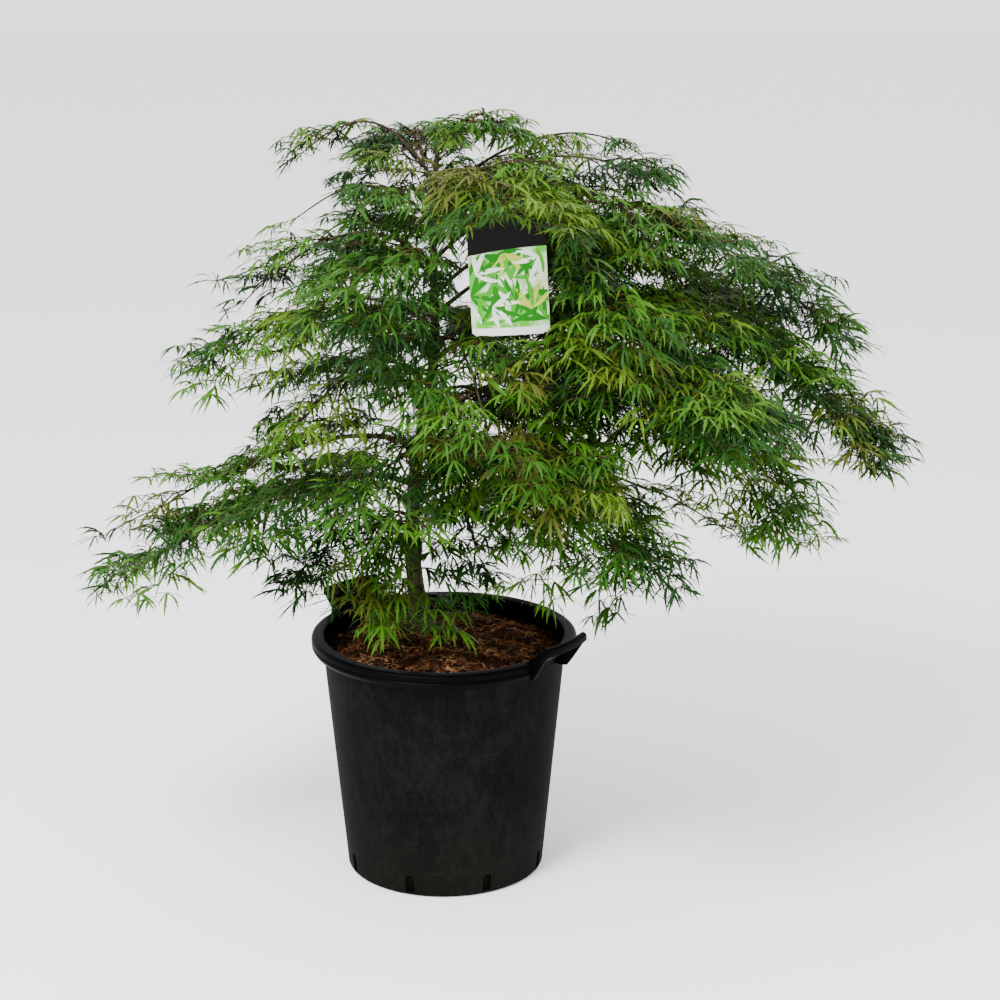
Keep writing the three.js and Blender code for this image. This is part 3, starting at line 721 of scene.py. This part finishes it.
def smoothLine(corners, steps=24):
    # a curve through all the corners whose knots follow the root of their distance
    corners = [np.array(c, float) for c in corners]
    ends = [2 * corners[0] - corners[1]] + corners + [2 * corners[-1] - corners[-2]]
    points = []
    for p0, p1, p2, p3 in zip(ends, ends[1:], ends[2:], ends[3:]):
        d0, d1, d2 = [math.sqrt(np.linalg.norm(b - a)) for a, b in ((p0, p1), (p1, p2), (p2, p3))]
        m1 = ((p1 - p0) / d0 - (p2 - p0) / (d0 + d1) + (p2 - p1) / d1) * d1
        m2 = ((p2 - p1) / d1 - (p3 - p1) / (d1 + d2) + (p3 - p2) / d2) * d1
        for i in range(steps):
            t = i / steps
            square, cube = 3 * (p2 - p1) - 2 * m1 - m2, 2 * (p1 - p2) + m1 + m2
            points.append(p1 + m1 * t + square * t * t + cube * t ** 3)
    return Path(points + [corners[-1]])


stemPath = smoothLine(stem["line"])


def stemShare(height):
    return float(np.interp(height, stemPath.points[:, 2], stemPath.run / stemPath.length))


def stemRadius(share):
    height = stemPath.at(share)[2] - soil["crown"] / mm
    flare = stem["flare"] * math.exp(-max(0, height) / stem["flareHeight"])
    return stem["footRadius"] + (stem["tipRadius"] - stem["footRadius"]) * share + flare


def armPath(arm, sway):
    root = stemPath.at(stemShare(arm["foot"]))
    out = flatAhead(rad(arm["azimuth"]))
    side = np.array([-out[1], out[0], 0])
    end = root + out * arm["reach"]
    end[2] = arm["tip"]
    rise = root + out * arm["reach"] * armBend["rise"] + up * arm["lift"] + side * sway * arm["reach"]
    fall = end - out * arm["reach"] * armBend["fall"] + up * arm["droop"]
    return bezier([root, rise, fall, end])


def plainArms():
    # the limbs as the solids draw them
    sways = seededRandom(armBend["seed"])
    return {name: armPath(arm, (2 * sways() - 1) * armBend["sway"]) for name, arm in arms.items()}


armPaths = plainArms()
leafNodes = ["leaves_" + name for name in arms]
boughNodes = ["bough_" + name for name, arm in arms.items() if arm["bough"] > 0]


def barkPaint():
    paint = Paint("bark", (0.05, 0.036, 0.02), 0.8, 0.12)
    where = paint.place()
    height = paint.axis("Z", where)
    streaks = paint.noise(paint.place((1, 1, 0.22)), 260, 4, 0.65)
    patches = paint.noise(where, 42, 4, 0.6)
    brown = paint.ramp(streaks, [
        (0.3, (0.007, 0.005, 0.003)), (0.52, (0.026, 0.017, 0.010)), (0.7, (0.060, 0.041, 0.024))])
    green = paint.ramp(streaks, [
        (0.3, (0.013, 0.013, 0.004)), (0.55, (0.043, 0.043, 0.012)), (0.72, (0.085, 0.080, 0.030))])
    mossy = paint.smooth(height, 0.50, 0.74, 1, 0) * paint.smooth(patches, 0.36, 0.56)
    paint.feed("Base Color", paint.blend(mossy, brown, green))
    paint.bump(streaks + patches * 0.6, 0.55, 0.0012)
    return paint


barkDepth = {"ridge": 0.075, "fine": 0.04, "ring": 0.12}


def barkRelief(point, out, radius):
    spot = Vector(point * mm)
    ridge = noise.noise(Vector((spot.x * 90 + out[0] * 3.4, spot.y * 90 + out[1] * 3.4, spot.z * 26)))
    fine = noise.noise(Vector((out[0] * 7, out[1] * 7, spot.z * 95)))
    rings = 0.35 * math.sin(spot.z * 260 + 3 * noise.noise(spot * 12))
    return radius * (barkDepth["ridge"] * ridge + barkDepth["fine"] * fine) + barkDepth["ring"] * rings


def makeStem(paint):
    heap = Heap()
    low = stemShare(soil["crown"] / mm - stem["below"])
    shares = np.linspace(low, 1, stem["stations"])
    points = stemPath.at(shares)
    rows, faces = tube(points, [stemRadius(s) for s in shares], stem["sides"], barkRelief)
    # uneven root flare
    for row in rows:
        above = row[2] - soil["crown"] / mm
        centre = stemPath.at(stemShare(row[2]))
        away = row[:2] - centre[:2]
        turn = math.atan2(away[1], away[0])
        toes = 0.5 + 0.5 * math.cos(3 * turn + 0.8) * math.cos(turn - 0.5)
        row[:2] += away * stem["toes"] * toes * math.exp(-max(0, above) / stem["toeHeight"])
    heap.add(rows * mm, faces)
    addPiece("stemBark", heap.mesh("stemBark"), paint, ["trunk"])


armThick = {
    "tip": 0.95, "taper": 1.15, "boughRoot": 0.36, "plainRoot": 2.9, "collar": 1.3, "collarLength": 9,
    "step": 11, "leastSteps": 14, "sides": 9, "wander": 3.2, "wanderScale": 0.016, "settle": 60,
}


def makeArms(paint):
    heap = Heap()
    thick = armThick
    for name, arm in arms.items():
        path = armPaths[name]
        atFoot = stemRadius(stemShare(arm["foot"]))
        root = 1 + thick["boughRoot"] * atFoot if arm["bough"] > 0 else thick["plainRoot"]
        steps = max(thick["leastSteps"], int(path.length / thick["step"]))
        shares = np.linspace(0, 1, steps)
        radii = [
            thick["tip"] + (root - thick["tip"]) * (1 - s) ** thick["taper"]
            + thick["collar"] * math.exp(-abs(s * path.length - atFoot) / thick["collarLength"])
            for s in shares]
        points = path.at(shares)
        wander = np.array([
            [noise.noise(Vector(p * thick["wanderScale"] + shift)) for shift in (0, 9, 21)] for p in points])
        settled = np.minimum(1, shares * path.length / thick["settle"])
        points = points + wander * (thick["wander"] * settled)[:, None]
        heap.add(*tubeFromMm(points, radii, thick["sides"], barkRelief))
        armPaths[name] = Path(points)
    addPiece("armBark", heap.mesh("armBark"), paint, boughNodes)


bark = barkPaint()
makeStem(bark)
makeArms(bark)
print("stem and arms ready")


label = {
    "arm": "crest_front", "share": 0.7, "width": 0.102, "height": 0.158, "thick": 0.0012, "corner": 0.006,
    "lean": -3, "strap": 0.032, "picture": 0.44, "slope": 0.06, "sag": 0.03, "strip": 0.065,
    "bow": 0.006, "wave": 0.002, "margin": 0.0006,
    "overLeft": 14, "overRight": 7, "overTop": 38, "sight": 0.28,
}


def labelHook():
    # it hangs from the limb without its wander
    path = plainArms()[label["arm"]]
    return path.at(label["share"]) * mm, path.ahead(label["share"])


hookPoint, hookAhead = labelHook()
labelCentre = hookPoint - up * (label["strap"] + label["height"] / 2)


# a generic leafy design: where each printed hand sits, its slant, length and first colour
printHands = (
    (-34, 30, -64, 50, 0), (20, 34, -112, 54, 0), (46, 2, 160, 48, 1), (-14, 4, -92, 56, 1),
    (-50, -26, 14, 46, 0), (32, -20, -66, 50, 0), (0, -62, 84, 56, 0), (-38, -62, 62, 44, 1),
    (48, -60, 122, 50, 0), (-4, 30, -76, 40, 2), (-42, 2, 40, 44, 3), (30, -44, 100, 44, 2),
    (8, -34, 140, 40, 0), (-22, -40, -20, 42, 3), (40, 24, -140, 40, 3),
)
printInks = {
    "printGreen": (0.010, 0.200, 0.006), "printLeaf": (0.060, 0.400, 0.015),
    "printYellow": (0.500, 0.620, 0.060), "printWhite": (0.900, 0.960, 0.840),
}
printFan = {
    "blades": (-56, -28, 0, 26, 58), "width": 6.6, "stations": 5, "lift": 0.00014, "step": 0.000004,
    "shorter": 0.28, "widest": 60, "bend": 0.05, "ends": (0.05, 0.985), "fullness": 0.8, "worn": 0.88,
}


def labelBow(x, z):
    wide = label["width"] / 2
    return label["bow"] * (1 - (x / wide) ** 2) * 0.5 + label["wave"] * math.sin(z * 30)


def pictureEdge(across):
    # the height of the picture's upper edge, for a number or a socket
    return label["picture"] + label["slope"] * across - label["sag"] * across * across


def pictureTop(x):
    return pictureEdge(x / (label["width"] / 2)) * label["height"] / 2


def clipped(corners, keep):
    # what a straight or gently curved limit leaves of a small face
    kept = []
    for a, b in zip(corners, corners[1:] + corners[:1]):
        da, db = keep(*a), keep(*b)
        if da >= 0:
            kept.append(a)
        if (da >= 0) != (db >= 0):
            share = da / (da - db)
            kept.append((a[0] + (b[0] - a[0]) * share, a[1] + (b[1] - a[1]) * share))
    return kept


def makePrint(turn):
    wide = label["width"] / 2 - label["margin"]
    foot = (2 * label["strip"] - 1) * label["height"] / 2
    limits = (
        lambda x, z: wide - x, lambda x, z: wide + x,
        lambda x, z: z - foot, lambda x, z: pictureTop(x) - z)
    heap = Heap()
    fan = printFan
    inks = []
    blade = 0
    for x, z, slant, length, ink in printHands:
        for k, spread in enumerate(fan["blades"]):
            angle = rad(slant + spread)
            ahead = np.array([math.cos(angle), math.sin(angle)])
            aside = np.array([-ahead[1], ahead[0]])
            long = length * (1 - fan["shorter"] * abs(spread) / fan["widest"]) * mm
            marks = np.linspace(0, 1, fan["stations"])
            swell = np.sin(np.pi * np.clip(marks, *fan["ends"])) ** fan["fullness"]
            halves = fan["width"] * mm / 2 * swell
            bend = fan["bend"] * long * (1 if k % 2 else -1)
            spine = [np.array([x, z]) * mm + ahead * long * m + aside * bend * 4 * m * (1 - m) for m in marks]
            blade += 1
            lift = label["thick"] / 2 + fan["lift"] + fan["step"] * blade
            for i in range(len(marks) - 1):
                face = [spine[i] + aside * halves[i], spine[i] - aside * halves[i]]
                face += [spine[i + 1] - aside * halves[i + 1], spine[i + 1] + aside * halves[i + 1]]
                face = [tuple(c) for c in face]
                for keep in limits:
                    face = clipped(face, keep) if face else face
                if len(face) > 2:
                    heap.add([(a, -lift - labelBow(a, b), b) for a, b in face], [tuple(range(len(face)))])
                    inks.append((ink, ink, (ink + 1) % 2, ink, 3 if ink == 1 else ink)[k])
    mesh = heap.mesh("labelLeaves")
    paints = []
    for name, colour in printInks.items():
        ink = Paint(name, colour, 0.34, 0.10)
        ink.mottle(260, 3, 0.6, tuple(c * fan["worn"] for c in colour), colour)
        paints.append(ink)
    piece = addPiece("labelLeaves", mesh, paints, ["label"], smooth=False)
    mesh.polygons.foreach_set("material_index", inks)
    piece.rotation_euler = turn
    piece.location = labelCentre


def cardPaint():
    paint = Paint("labelPrint", (0.3, 0.55, 0.2), 0.34, 0.10)
    where = paint.place()
    across = paint.axis("X", where) / (label["width"] / 2)
    height = paint.axis("Z", where) / (label["height"] / 2)
    light = paint.smooth(paint.noise(where, 34, 2, 0.5), 0.40, 0.62)
    colour = paint.blend(light, (0.10, 0.48, 0.03), (0.72, 0.90, 0.55))
    inPicture = paint.smooth(height - pictureEdge(across), -0.006, 0.006, 1, 0)
    colour = paint.blend(inPicture, (0.0010, 0.0010, 0.0010), colour)
    strip = paint.smooth(height + 1 - 2 * label["strip"], -0.006, 0.006, 1, 0)
    paint.feed("Base Color", paint.blend(strip, colour, (0.90, 0.90, 0.89)))
    return paint


def makeLabel():
    wide, tall, corner = label["width"] / 2, label["height"] / 2, label["corner"]
    columns, rows = 24, 34
    heap = Heap()
    for side in (-1, 1):
        points = []
        for j in range(rows + 1):
            z = -tall + 2 * tall * j / rows
            inset = corner - math.sqrt(max(0, corner ** 2 - max(0, corner - (z + tall)) ** 2))
            for i in range(columns + 1):
                x = (wide - inset) * (2 * i / columns - 1)
                points.append((x, side * label["thick"] / 2 - labelBow(x, z), z))
        faces = []
        for j in range(rows):
            for i in range(columns):
                a = j * (columns + 1) + i
                face = (a, a + 1, a + columns + 2, a + columns + 1)
                faces.append(face if side < 0 else tuple(reversed(face)))
        heap.add(points, faces)
    # the thin edge all round
    per = columns + 1
    rim = list(range(per)) + [j * per + columns for j in range(1, rows + 1)]
    rim += [rows * per + i for i in range(columns - 1, -1, -1)] + [j * per for j in range(rows - 1, 0, -1)]
    back = per * (rows + 1)
    heap.faces += [(b, a, a + back, b + back) for a, b in zip(rim, rim[1:] + rim[:1])]
    piece = linked("labelCard", heap.mesh("labelCard"))
    turn = (0, rad(label["lean"]), 0)
    piece.rotation_euler = turn
    piece.location = labelCentre
    piece.data.materials.append(cardPaint().material)
    shadeRound(piece.data, 40)
    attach(piece, "root")
    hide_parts("label")
    makePrint(turn)


strap = {
    "ring": 0.0062, "thick": 0.0016, "sag": 0.0015, "tuck": 0.008, "straight": 0.012,
    "turns": (-1.5, 4.6), "stations": 26,
}


def makeStrap():
    paint = Paint("strapPlastic", (0.003, 0.003, 0.003), 0.35, 0.15)
    paint.feed("Roughness", 0.28 + paint.noise(paint.place(), 300, 2, 0.5) * 0.2)
    heap = Heap()
    out = np.array([hookAhead[1], -hookAhead[0], 0])
    out /= np.linalg.norm(out)
    turns = np.linspace(*strap["turns"], strap["stations"])
    ring, sag, straight = strap["ring"], strap["sag"], up * strap["straight"]
    loop = [hookPoint + out * ring * math.cos(t) + up * (ring * math.sin(t) - sag) for t in turns]
    foot = labelCentre + up * (label["height"] / 2 - strap["tuck"])
    line = [foot, foot + straight, hookPoint - straight] + loop
    heap.add(*tube(line, [strap["thick"]] * len(line), 8))
    addPiece("labelStrap", heap.mesh("labelStrap"), paint, ["label"])


makeLabel()
makeStrap()
print("label ready")


# side twigs, finer twigs and leaves grow on from every arm
spray = {
    "seed": 29, "first": 0.08, "firstOnBough": 0.42, "every": 30, "twig": 122, "shortening": 0.48,
    "angle": 50, "spread": 15, "lift": -0.03, "rise": 0.22, "fall": 0.26,
    "fineShare": 0.5, "fineAt": (0.3, 0.54, 0.78),
    "leafEvery": 12, "leaf": 44, "pitch": (-16, 18), "droop": (22, 72),
    "leafSpread": 0.22, "stalk": 19, "tries": 5,
    "inner": 0.55, "innerFrom": 640, "innerTo": 860,
    "aside": 24, "below": 66, "above": 10, "outside": 16, "leavesInPiece": 1500,
    "thick": 1.45, "fineThick": 0.85, "tipLength": 26, "tipThick": 0.95, "taper": 0.62,
    "leafTurn": (28, 68), "fineTurn": (34, 58), "stalkRadii": (0.62, 0.5, 0.45),
    "stalkSpread": (0.6, 1.35), "stalkRise": (-0.15, 0.32), "smaller": 0.84,
    "roll": 0.42, "lobeSpread": (0.84, 1.08),
}
leafShape = {
    "lobes": ((-120, 0.5), (-80, 0.76), (-40, 0.94), (0, 1.0), (40, 0.94), (80, 0.76), (120, 0.5)),
    "rings": 4, "width": (0.024, 0.044, 0.044, 0.026), "teeth": {2: 0.13},
    "toothAhead": 0.94, "toothAside": 0.34, "toothRoot": 0.32, "toothSpread": (0.6, 1.3),
    "curl": 0.36, "turnSpread": 0.07, "lengthSpread": (0.86, 1.1), "fallSpread": 0.14,
    "fallPower": 0.85, "twist": 0.8,
}
# share of the sprays, then the plain colour of each tint
tints = {
    "leafDeep": (0.19, (0.0045, 0.0258, 0.0020)),
    "leafShade": (0.23, (0.0095, 0.0448, 0.0028)),
    "leafMid": (0.26, (0.0213, 0.0739, 0.0038)),
    "leafBright": (0.18, (0.0392, 0.1098, 0.0054)),
    "leafFresh": (0.09, (0.0627, 0.1210, 0.0067)),
    "leafBronze": (0.05, (0.0560, 0.0672, 0.0067)),
}


# leaves keep so many millimetres off the rim, soil, edges and card, and degrees from a handle's middle
clear = {"rim": 6, "soil": 2, "edge": 3, "handle": 17, "before": 4, "through": 7, "card": 2}


def nearPot(points):
    x, y, z = points.T
    radius = np.hypot(x, y)
    neck, lip = pot["neckRadius"] / mm - clear["rim"], handles["lipRadius"] / mm + clear["rim"]
    inside = radius < neck
    overRim = (radius >= neck) & (radius < lip)
    onSoil = z < soil["crown"] / mm + clear["soil"]
    low = np.where(inside, onSoil, z < pot["height"] / mm + clear["edge"])
    byHandle = np.zeros(len(points), bool)
    for azimuth in handles["azimuths"].values():
        turn = np.cos(np.arctan2(y, x) - rad(azimuth))
        byHandle |= turn > math.cos(rad(clear["handle"]))
    high = overRim & byHandle & (z < handles["lipHeight"] / mm + clear["edge"])
    return bool(np.any((inside | overRim) & low) or np.any(high))


def coversLabel(points):
    # before the lower part of the card on the way to the viewer, or through it
    x, y, z = points.T
    midX, midY, midZ = labelCentre / mm
    wide, tall, card = label["width"] / mm / 2, label["height"] / mm / 2, clear["card"]
    before = midY - y
    seen = z - midZ - before * label["sight"]
    between = (x > midX - wide + label["overLeft"]) & (x < midX + wide - label["overRight"])
    over = (before > -clear["before"]) & between & (seen < tall - label["overTop"]) & (seen > -tall + card)
    onCard = (np.abs(x - midX) < wide + card) & (np.abs(z - midZ) < tall + card)
    through = (np.abs(before) < clear["through"]) & onCard
    return bool(np.any(over) or np.any(through))


def lobeLines(base, azimuth, size, pitch, fall):
    # the ribs of one leaf, rough, for the tests above
    points = []
    steps = 3
    for angle, share in leafShape["lobes"]:
        turn = azimuth + rad(angle)
        out = flatAhead(turn)
        spot = base.copy()
        for k in range(steps):
            tilt = pitch + (fall - pitch) * (k + 0.5) / steps
            spot = spot + (out * math.cos(tilt) - up * math.sin(tilt)) * size * share / steps
            points.append(spot)
    return np.array(points)


def growSprays():
    random = np.random.default_rng(spray["seed"])
    twigs = Heap()
    stalks = Heap()
    spots = {tint: [] for tint in tints}
    names = list(tints)
    shares = np.array([tints[name][0] for name in names])
    shares = shares / shares.sum()

    def beyond(points):
        return np.any(points < reach[0]) or np.any(points > reach[1])

    def placeLeaf(point, heading, tint, size):
        azimuth = math.atan2(heading[1], heading[0])
        for _ in range(spray["tries"]):
            turn = azimuth + random.normal(0, 0.16)
            out = flatAhead(turn)
            stalk = spray["stalk"] * random.uniform(*spray["stalkSpread"])
            base = point + out * stalk + up * stalk * random.uniform(*spray["stalkRise"])
            length = size * random.uniform(1 - spray["leafSpread"], 1 + spray["leafSpread"])
            pitch = rad(random.uniform(*spray["pitch"]))
            fall = rad(random.uniform(*spray["droop"]))
            ribs = lobeLines(base, turn, length, pitch, fall)
            if nearPot(ribs) or coversLabel(ribs) or beyond(ribs):
                size *= spray["smaller"]
                azimuth += random.normal(0, 0.5)
                continue
            middle = (point + base) / 2 + up * stalk * 0.07
            stalks.add(*tubeFromMm([point, middle, base], spray["stalkRadii"], 3))
            roll, spread = random.normal(0, spray["roll"]), random.uniform(*spray["lobeSpread"])
            spots[tint].append((*base, turn, length, pitch, fall, roll, spread))
            return

    def growTwig(root, heading, length, thick, tint, level):
        heading = heading / np.linalg.norm(heading)
        fall = spray["fall"] * random.uniform(0.5, 1.7)
        end = root + heading * length - up * length * fall
        middle = root + heading * length * 0.5 + up * length * random.uniform(0.03, 0.12)
        path = bezier([root, middle, end], 12)
        if nearPot(path.points) or coversLabel(path.points):
            return
        if beyond(end):
            length *= 0.6
            end = root + heading * length - up * length * fall
            path = bezier([root, (root + end) / 2, end], 12)
        sides, steps = (5, 7) if level == 0 else (4, 5)
        marks = np.linspace(0, 1, steps)
        line = path.at(marks)
        if level == 0:
            line[1:-1] += random.normal(0, 0.9, (steps - 2, 3))
        radii = thick * (1 - spray["taper"] * marks)
        twigs.add(*tubeFromMm(line, radii, sides))
        count = max(2, int(path.length / spray["leafEvery"]))
        for i in range(count):
            share = (i + 0.55 + random.uniform(-0.2, 0.2)) / count
            forward = path.ahead(share)
            azimuth = math.atan2(forward[1], forward[0])
            hand = 1 if (i + level) % 2 else -1
            turn = azimuth + hand * rad(random.uniform(*spray["leafTurn"]))
            size = spray["leaf"] * (1.0 - 0.12 * level)
            placeLeaf(path.at(share), flatAhead(turn), tint, size)
        placeLeaf(path.at(1), path.ahead(0.98), tint, spray["leaf"] * (1.02 - 0.1 * level))
        if level == 0:
            for i, share in enumerate(spray["fineAt"]):
                forward = path.ahead(share)
                flat = np.array([forward[0], forward[1], 0.12])
                hand = 1 if i % 2 else -1
                turn = aboutUp(hand * rad(random.uniform(*spray["fineTurn"])))
                fine = length * spray["fineShare"] * random.uniform(0.7, 1.15)
                growTwig(path.at(share), turn @ flat, fine, spray["fineThick"], tint, 1)

    crownLow = np.array(cadBox[0]) / mm - spray["outside"]
    crownHigh = np.array(cadBox[1]) / mm + spray["outside"]
    for name, arm in arms.items():
        path = armPaths[name]
        # leaves keep near the boxes of their own mass and bough
        low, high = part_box("leaves_" + name)
        if arm["bough"] > 0:
            boughLow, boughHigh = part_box("bough_" + name)
            low, high = np.minimum(low, boughLow), np.maximum(high, boughHigh)
        aside, below, above = spray["aside"], spray["below"], spray["above"]
        reach = (
            np.maximum(np.array(low) / mm - (aside, aside, below), crownLow),
            np.minimum(np.array(high) / mm + (aside, aside, above), crownHigh))
        first = spray["firstOnBough"] * arm["bough"] if arm["bough"] > 0 else spray["first"]
        count = max(3, int(path.length * (1 - first) * max(1, arm["fill"]) / spray["every"]))
        # the upper arms carry more twigs near the stem
        upward = (arm["foot"] - spray["innerFrom"]) / (spray["innerTo"] - spray["innerFrom"])
        inner = spray["inner"] * np.clip(upward, 0, 1)
        lean = random.dirichlet(shares * 9)
        for i in range(count):
            share = first + (1 - first) * (i + 0.5 + random.uniform(-0.25, 0.25)) / count
            along = (share - first) / (1 - first)
            forward = path.ahead(min(share, 0.99))
            for hand in (-1, 1):
                if random.random() > arm["fill"] + inner * (1 - along) ** 2:
                    continue
                climb = forward[2] * 0.45 + random.normal(spray["lift"], spray["rise"])
                flat = np.array([forward[0], forward[1], climb])
                tint = names[random.choice(len(names), p=0.3 * lean + 0.7 * shares)]
                angle = hand * rad(random.normal(spray["angle"], spray["spread"]))
                turn = aboutUp(angle)
                length = spray["twig"] * (1.05 - spray["shortening"] * along) * random.uniform(0.75, 1.2)
                growTwig(path.at(share), turn @ flat, length, spray["thick"], tint, 0)
        tint = names[random.choice(len(names), p=shares)]
        growTwig(path.at(1), path.ahead(0.98), spray["tipLength"], spray["tipThick"], tint, 1)
    return twigs, stalks, {tint: np.array(rows) for tint, rows in spots.items()}


def leafMesh(name, rows):
    # every row is a leaf: base, azimuth, size, first and last pitch, roll, spread
    base = rows[:, :3]
    azimuth, size, pitch, fall, roll, spread = rows[:, 3:].T
    random = np.random.default_rng(len(rows))
    leaf = leafShape
    angles = np.radians([lobe[0] for lobe in leaf["lobes"]])
    lengths = np.array([lobe[1] for lobe in leaf["lobes"]])
    count, lobes, rings = len(rows), len(angles), leaf["rings"]
    grid = (count, lobes)
    turn = azimuth[:, None] + angles[None, :] * spread[:, None] + random.normal(0, leaf["turnSpread"], grid)
    zero = np.zeros_like(turn)
    long = size[:, None] * lengths[None, :] * random.uniform(*leaf["lengthSpread"], grid)
    lobeFall = fall[:, None] + random.normal(0, leaf["fallSpread"], grid)
    curl = random.normal(0, leaf["curl"], grid)
    tiltSide = roll[:, None] * np.sin(angles)[None, :]
    spot = np.repeat(base[:, None, :], lobes, 1)
    step = (long / rings)[..., None]
    spine, forwards, sides = [spot], [], []
    for k in range(rings):
        bent = turn + curl * k / rings
        out = np.stack([np.cos(bent), np.sin(bent), zero], -1)
        sides.append(np.stack([-np.sin(bent), np.cos(bent), zero], -1))
        droop = (lobeFall - pitch[:, None]) * ((k + 0.5) / rings) ** leaf["fallPower"]
        tilt = pitch[:, None] + droop + tiltSide * (1 - k / rings)
        forward = out * np.cos(tilt)[..., None] - up * np.sin(tilt)[..., None]
        forwards.append(forward)
        spot = spot + forward * step
        spine.append(spot)
    twist = roll[:, None, None] * leaf["twist"]

    def acrossAt(k):
        return sides[k] * np.cos(twist) + np.cross(forwards[k], sides[k]) * np.sin(twist)

    points = []
    for k in range(rings):
        half = acrossAt(k) * (long * leaf["width"][k])[..., None]
        points += [spine[k] + half, spine[k] - half]
    points.append(spine[rings])
    corners = []
    for k in range(rings - 1):
        a = 2 * k
        corners += [(a, a + 1, a + 3), (a, a + 3, a + 2)]
    corners.append((2 * rings - 2, 2 * rings - 1, 2 * rings))
    for k, tooth in leaf["teeth"].items():
        across = acrossAt(k)
        for hand in (1, -1):
            edge = spine[k] + hand * across * (long * leaf["width"][k])[..., None]
            reach = (size[:, None] * tooth * random.uniform(*leaf["toothSpread"], grid))[..., None]
            aside = edge + hand * across * reach * leaf["toothAside"]
            tip = aside + forwards[k] * reach * leaf["toothAhead"]
            root = edge + forwards[k] * step * leaf["toothRoot"]
            at = len(points)
            points += [tip, root]
            edgeIndex = 2 * k + (0 if hand > 0 else 1)
            corners.append((edgeIndex, at, at + 1) if hand > 0 else (edgeIndex, at + 1, at))
    points = np.stack(points, 2)
    perLobe = points.shape[2]
    starts = np.arange(count * lobes) * perLobe
    corners = np.array(corners)[None] + starts[:, None, None]
    return triangleMesh(name, points.reshape(-1, 3) * mm, corners.reshape(-1, 3))


twigHeap, stalkHeap, leafRows = growSprays()
twigPaint = Paint("twigBark", (0.02, 0.012, 0.008), 0.7, 0.1)
twigPaint.mottle(60, 3, 0.6, (0.006, 0.004, 0.003), (0.042, 0.024, 0.013))
stalkPaint = Paint("stalkGreen", (0.05, 0.08, 0.01), 0.6, 0.1)
stalkPaint.mottle(30, 2, 0.5, (0.036, 0.070, 0.008), (0.085, 0.040, 0.012))
addPiece("fineTwigs", twigHeap.mesh("fineTwigs"), twigPaint, leafNodes)
addPiece("leafStalks", stalkHeap.mesh("leafStalks"), stalkPaint, leafNodes)
triangles = 0
for tintName, tintRows in leafRows.items():
    leafPaint = Paint(tintName + "Green", tints[tintName][1], 0.55, 0.12)
    parts = math.ceil(len(tintRows) / spray["leavesInPiece"])
    for part, rows in enumerate(np.array_split(tintRows, parts)):
        mesh = leafMesh(tintName + str(part + 1), rows)
        triangles += len(mesh.polygons)
        print(mesh.name, len(rows), "leaves", len(mesh.polygons), "triangles")
        addPiece(mesh.name, mesh, leafPaint, leafNodes, smooth=False)
print("leaves ready:", sum(len(r) for r in leafRows.values()), "leaves,", triangles, "triangles")
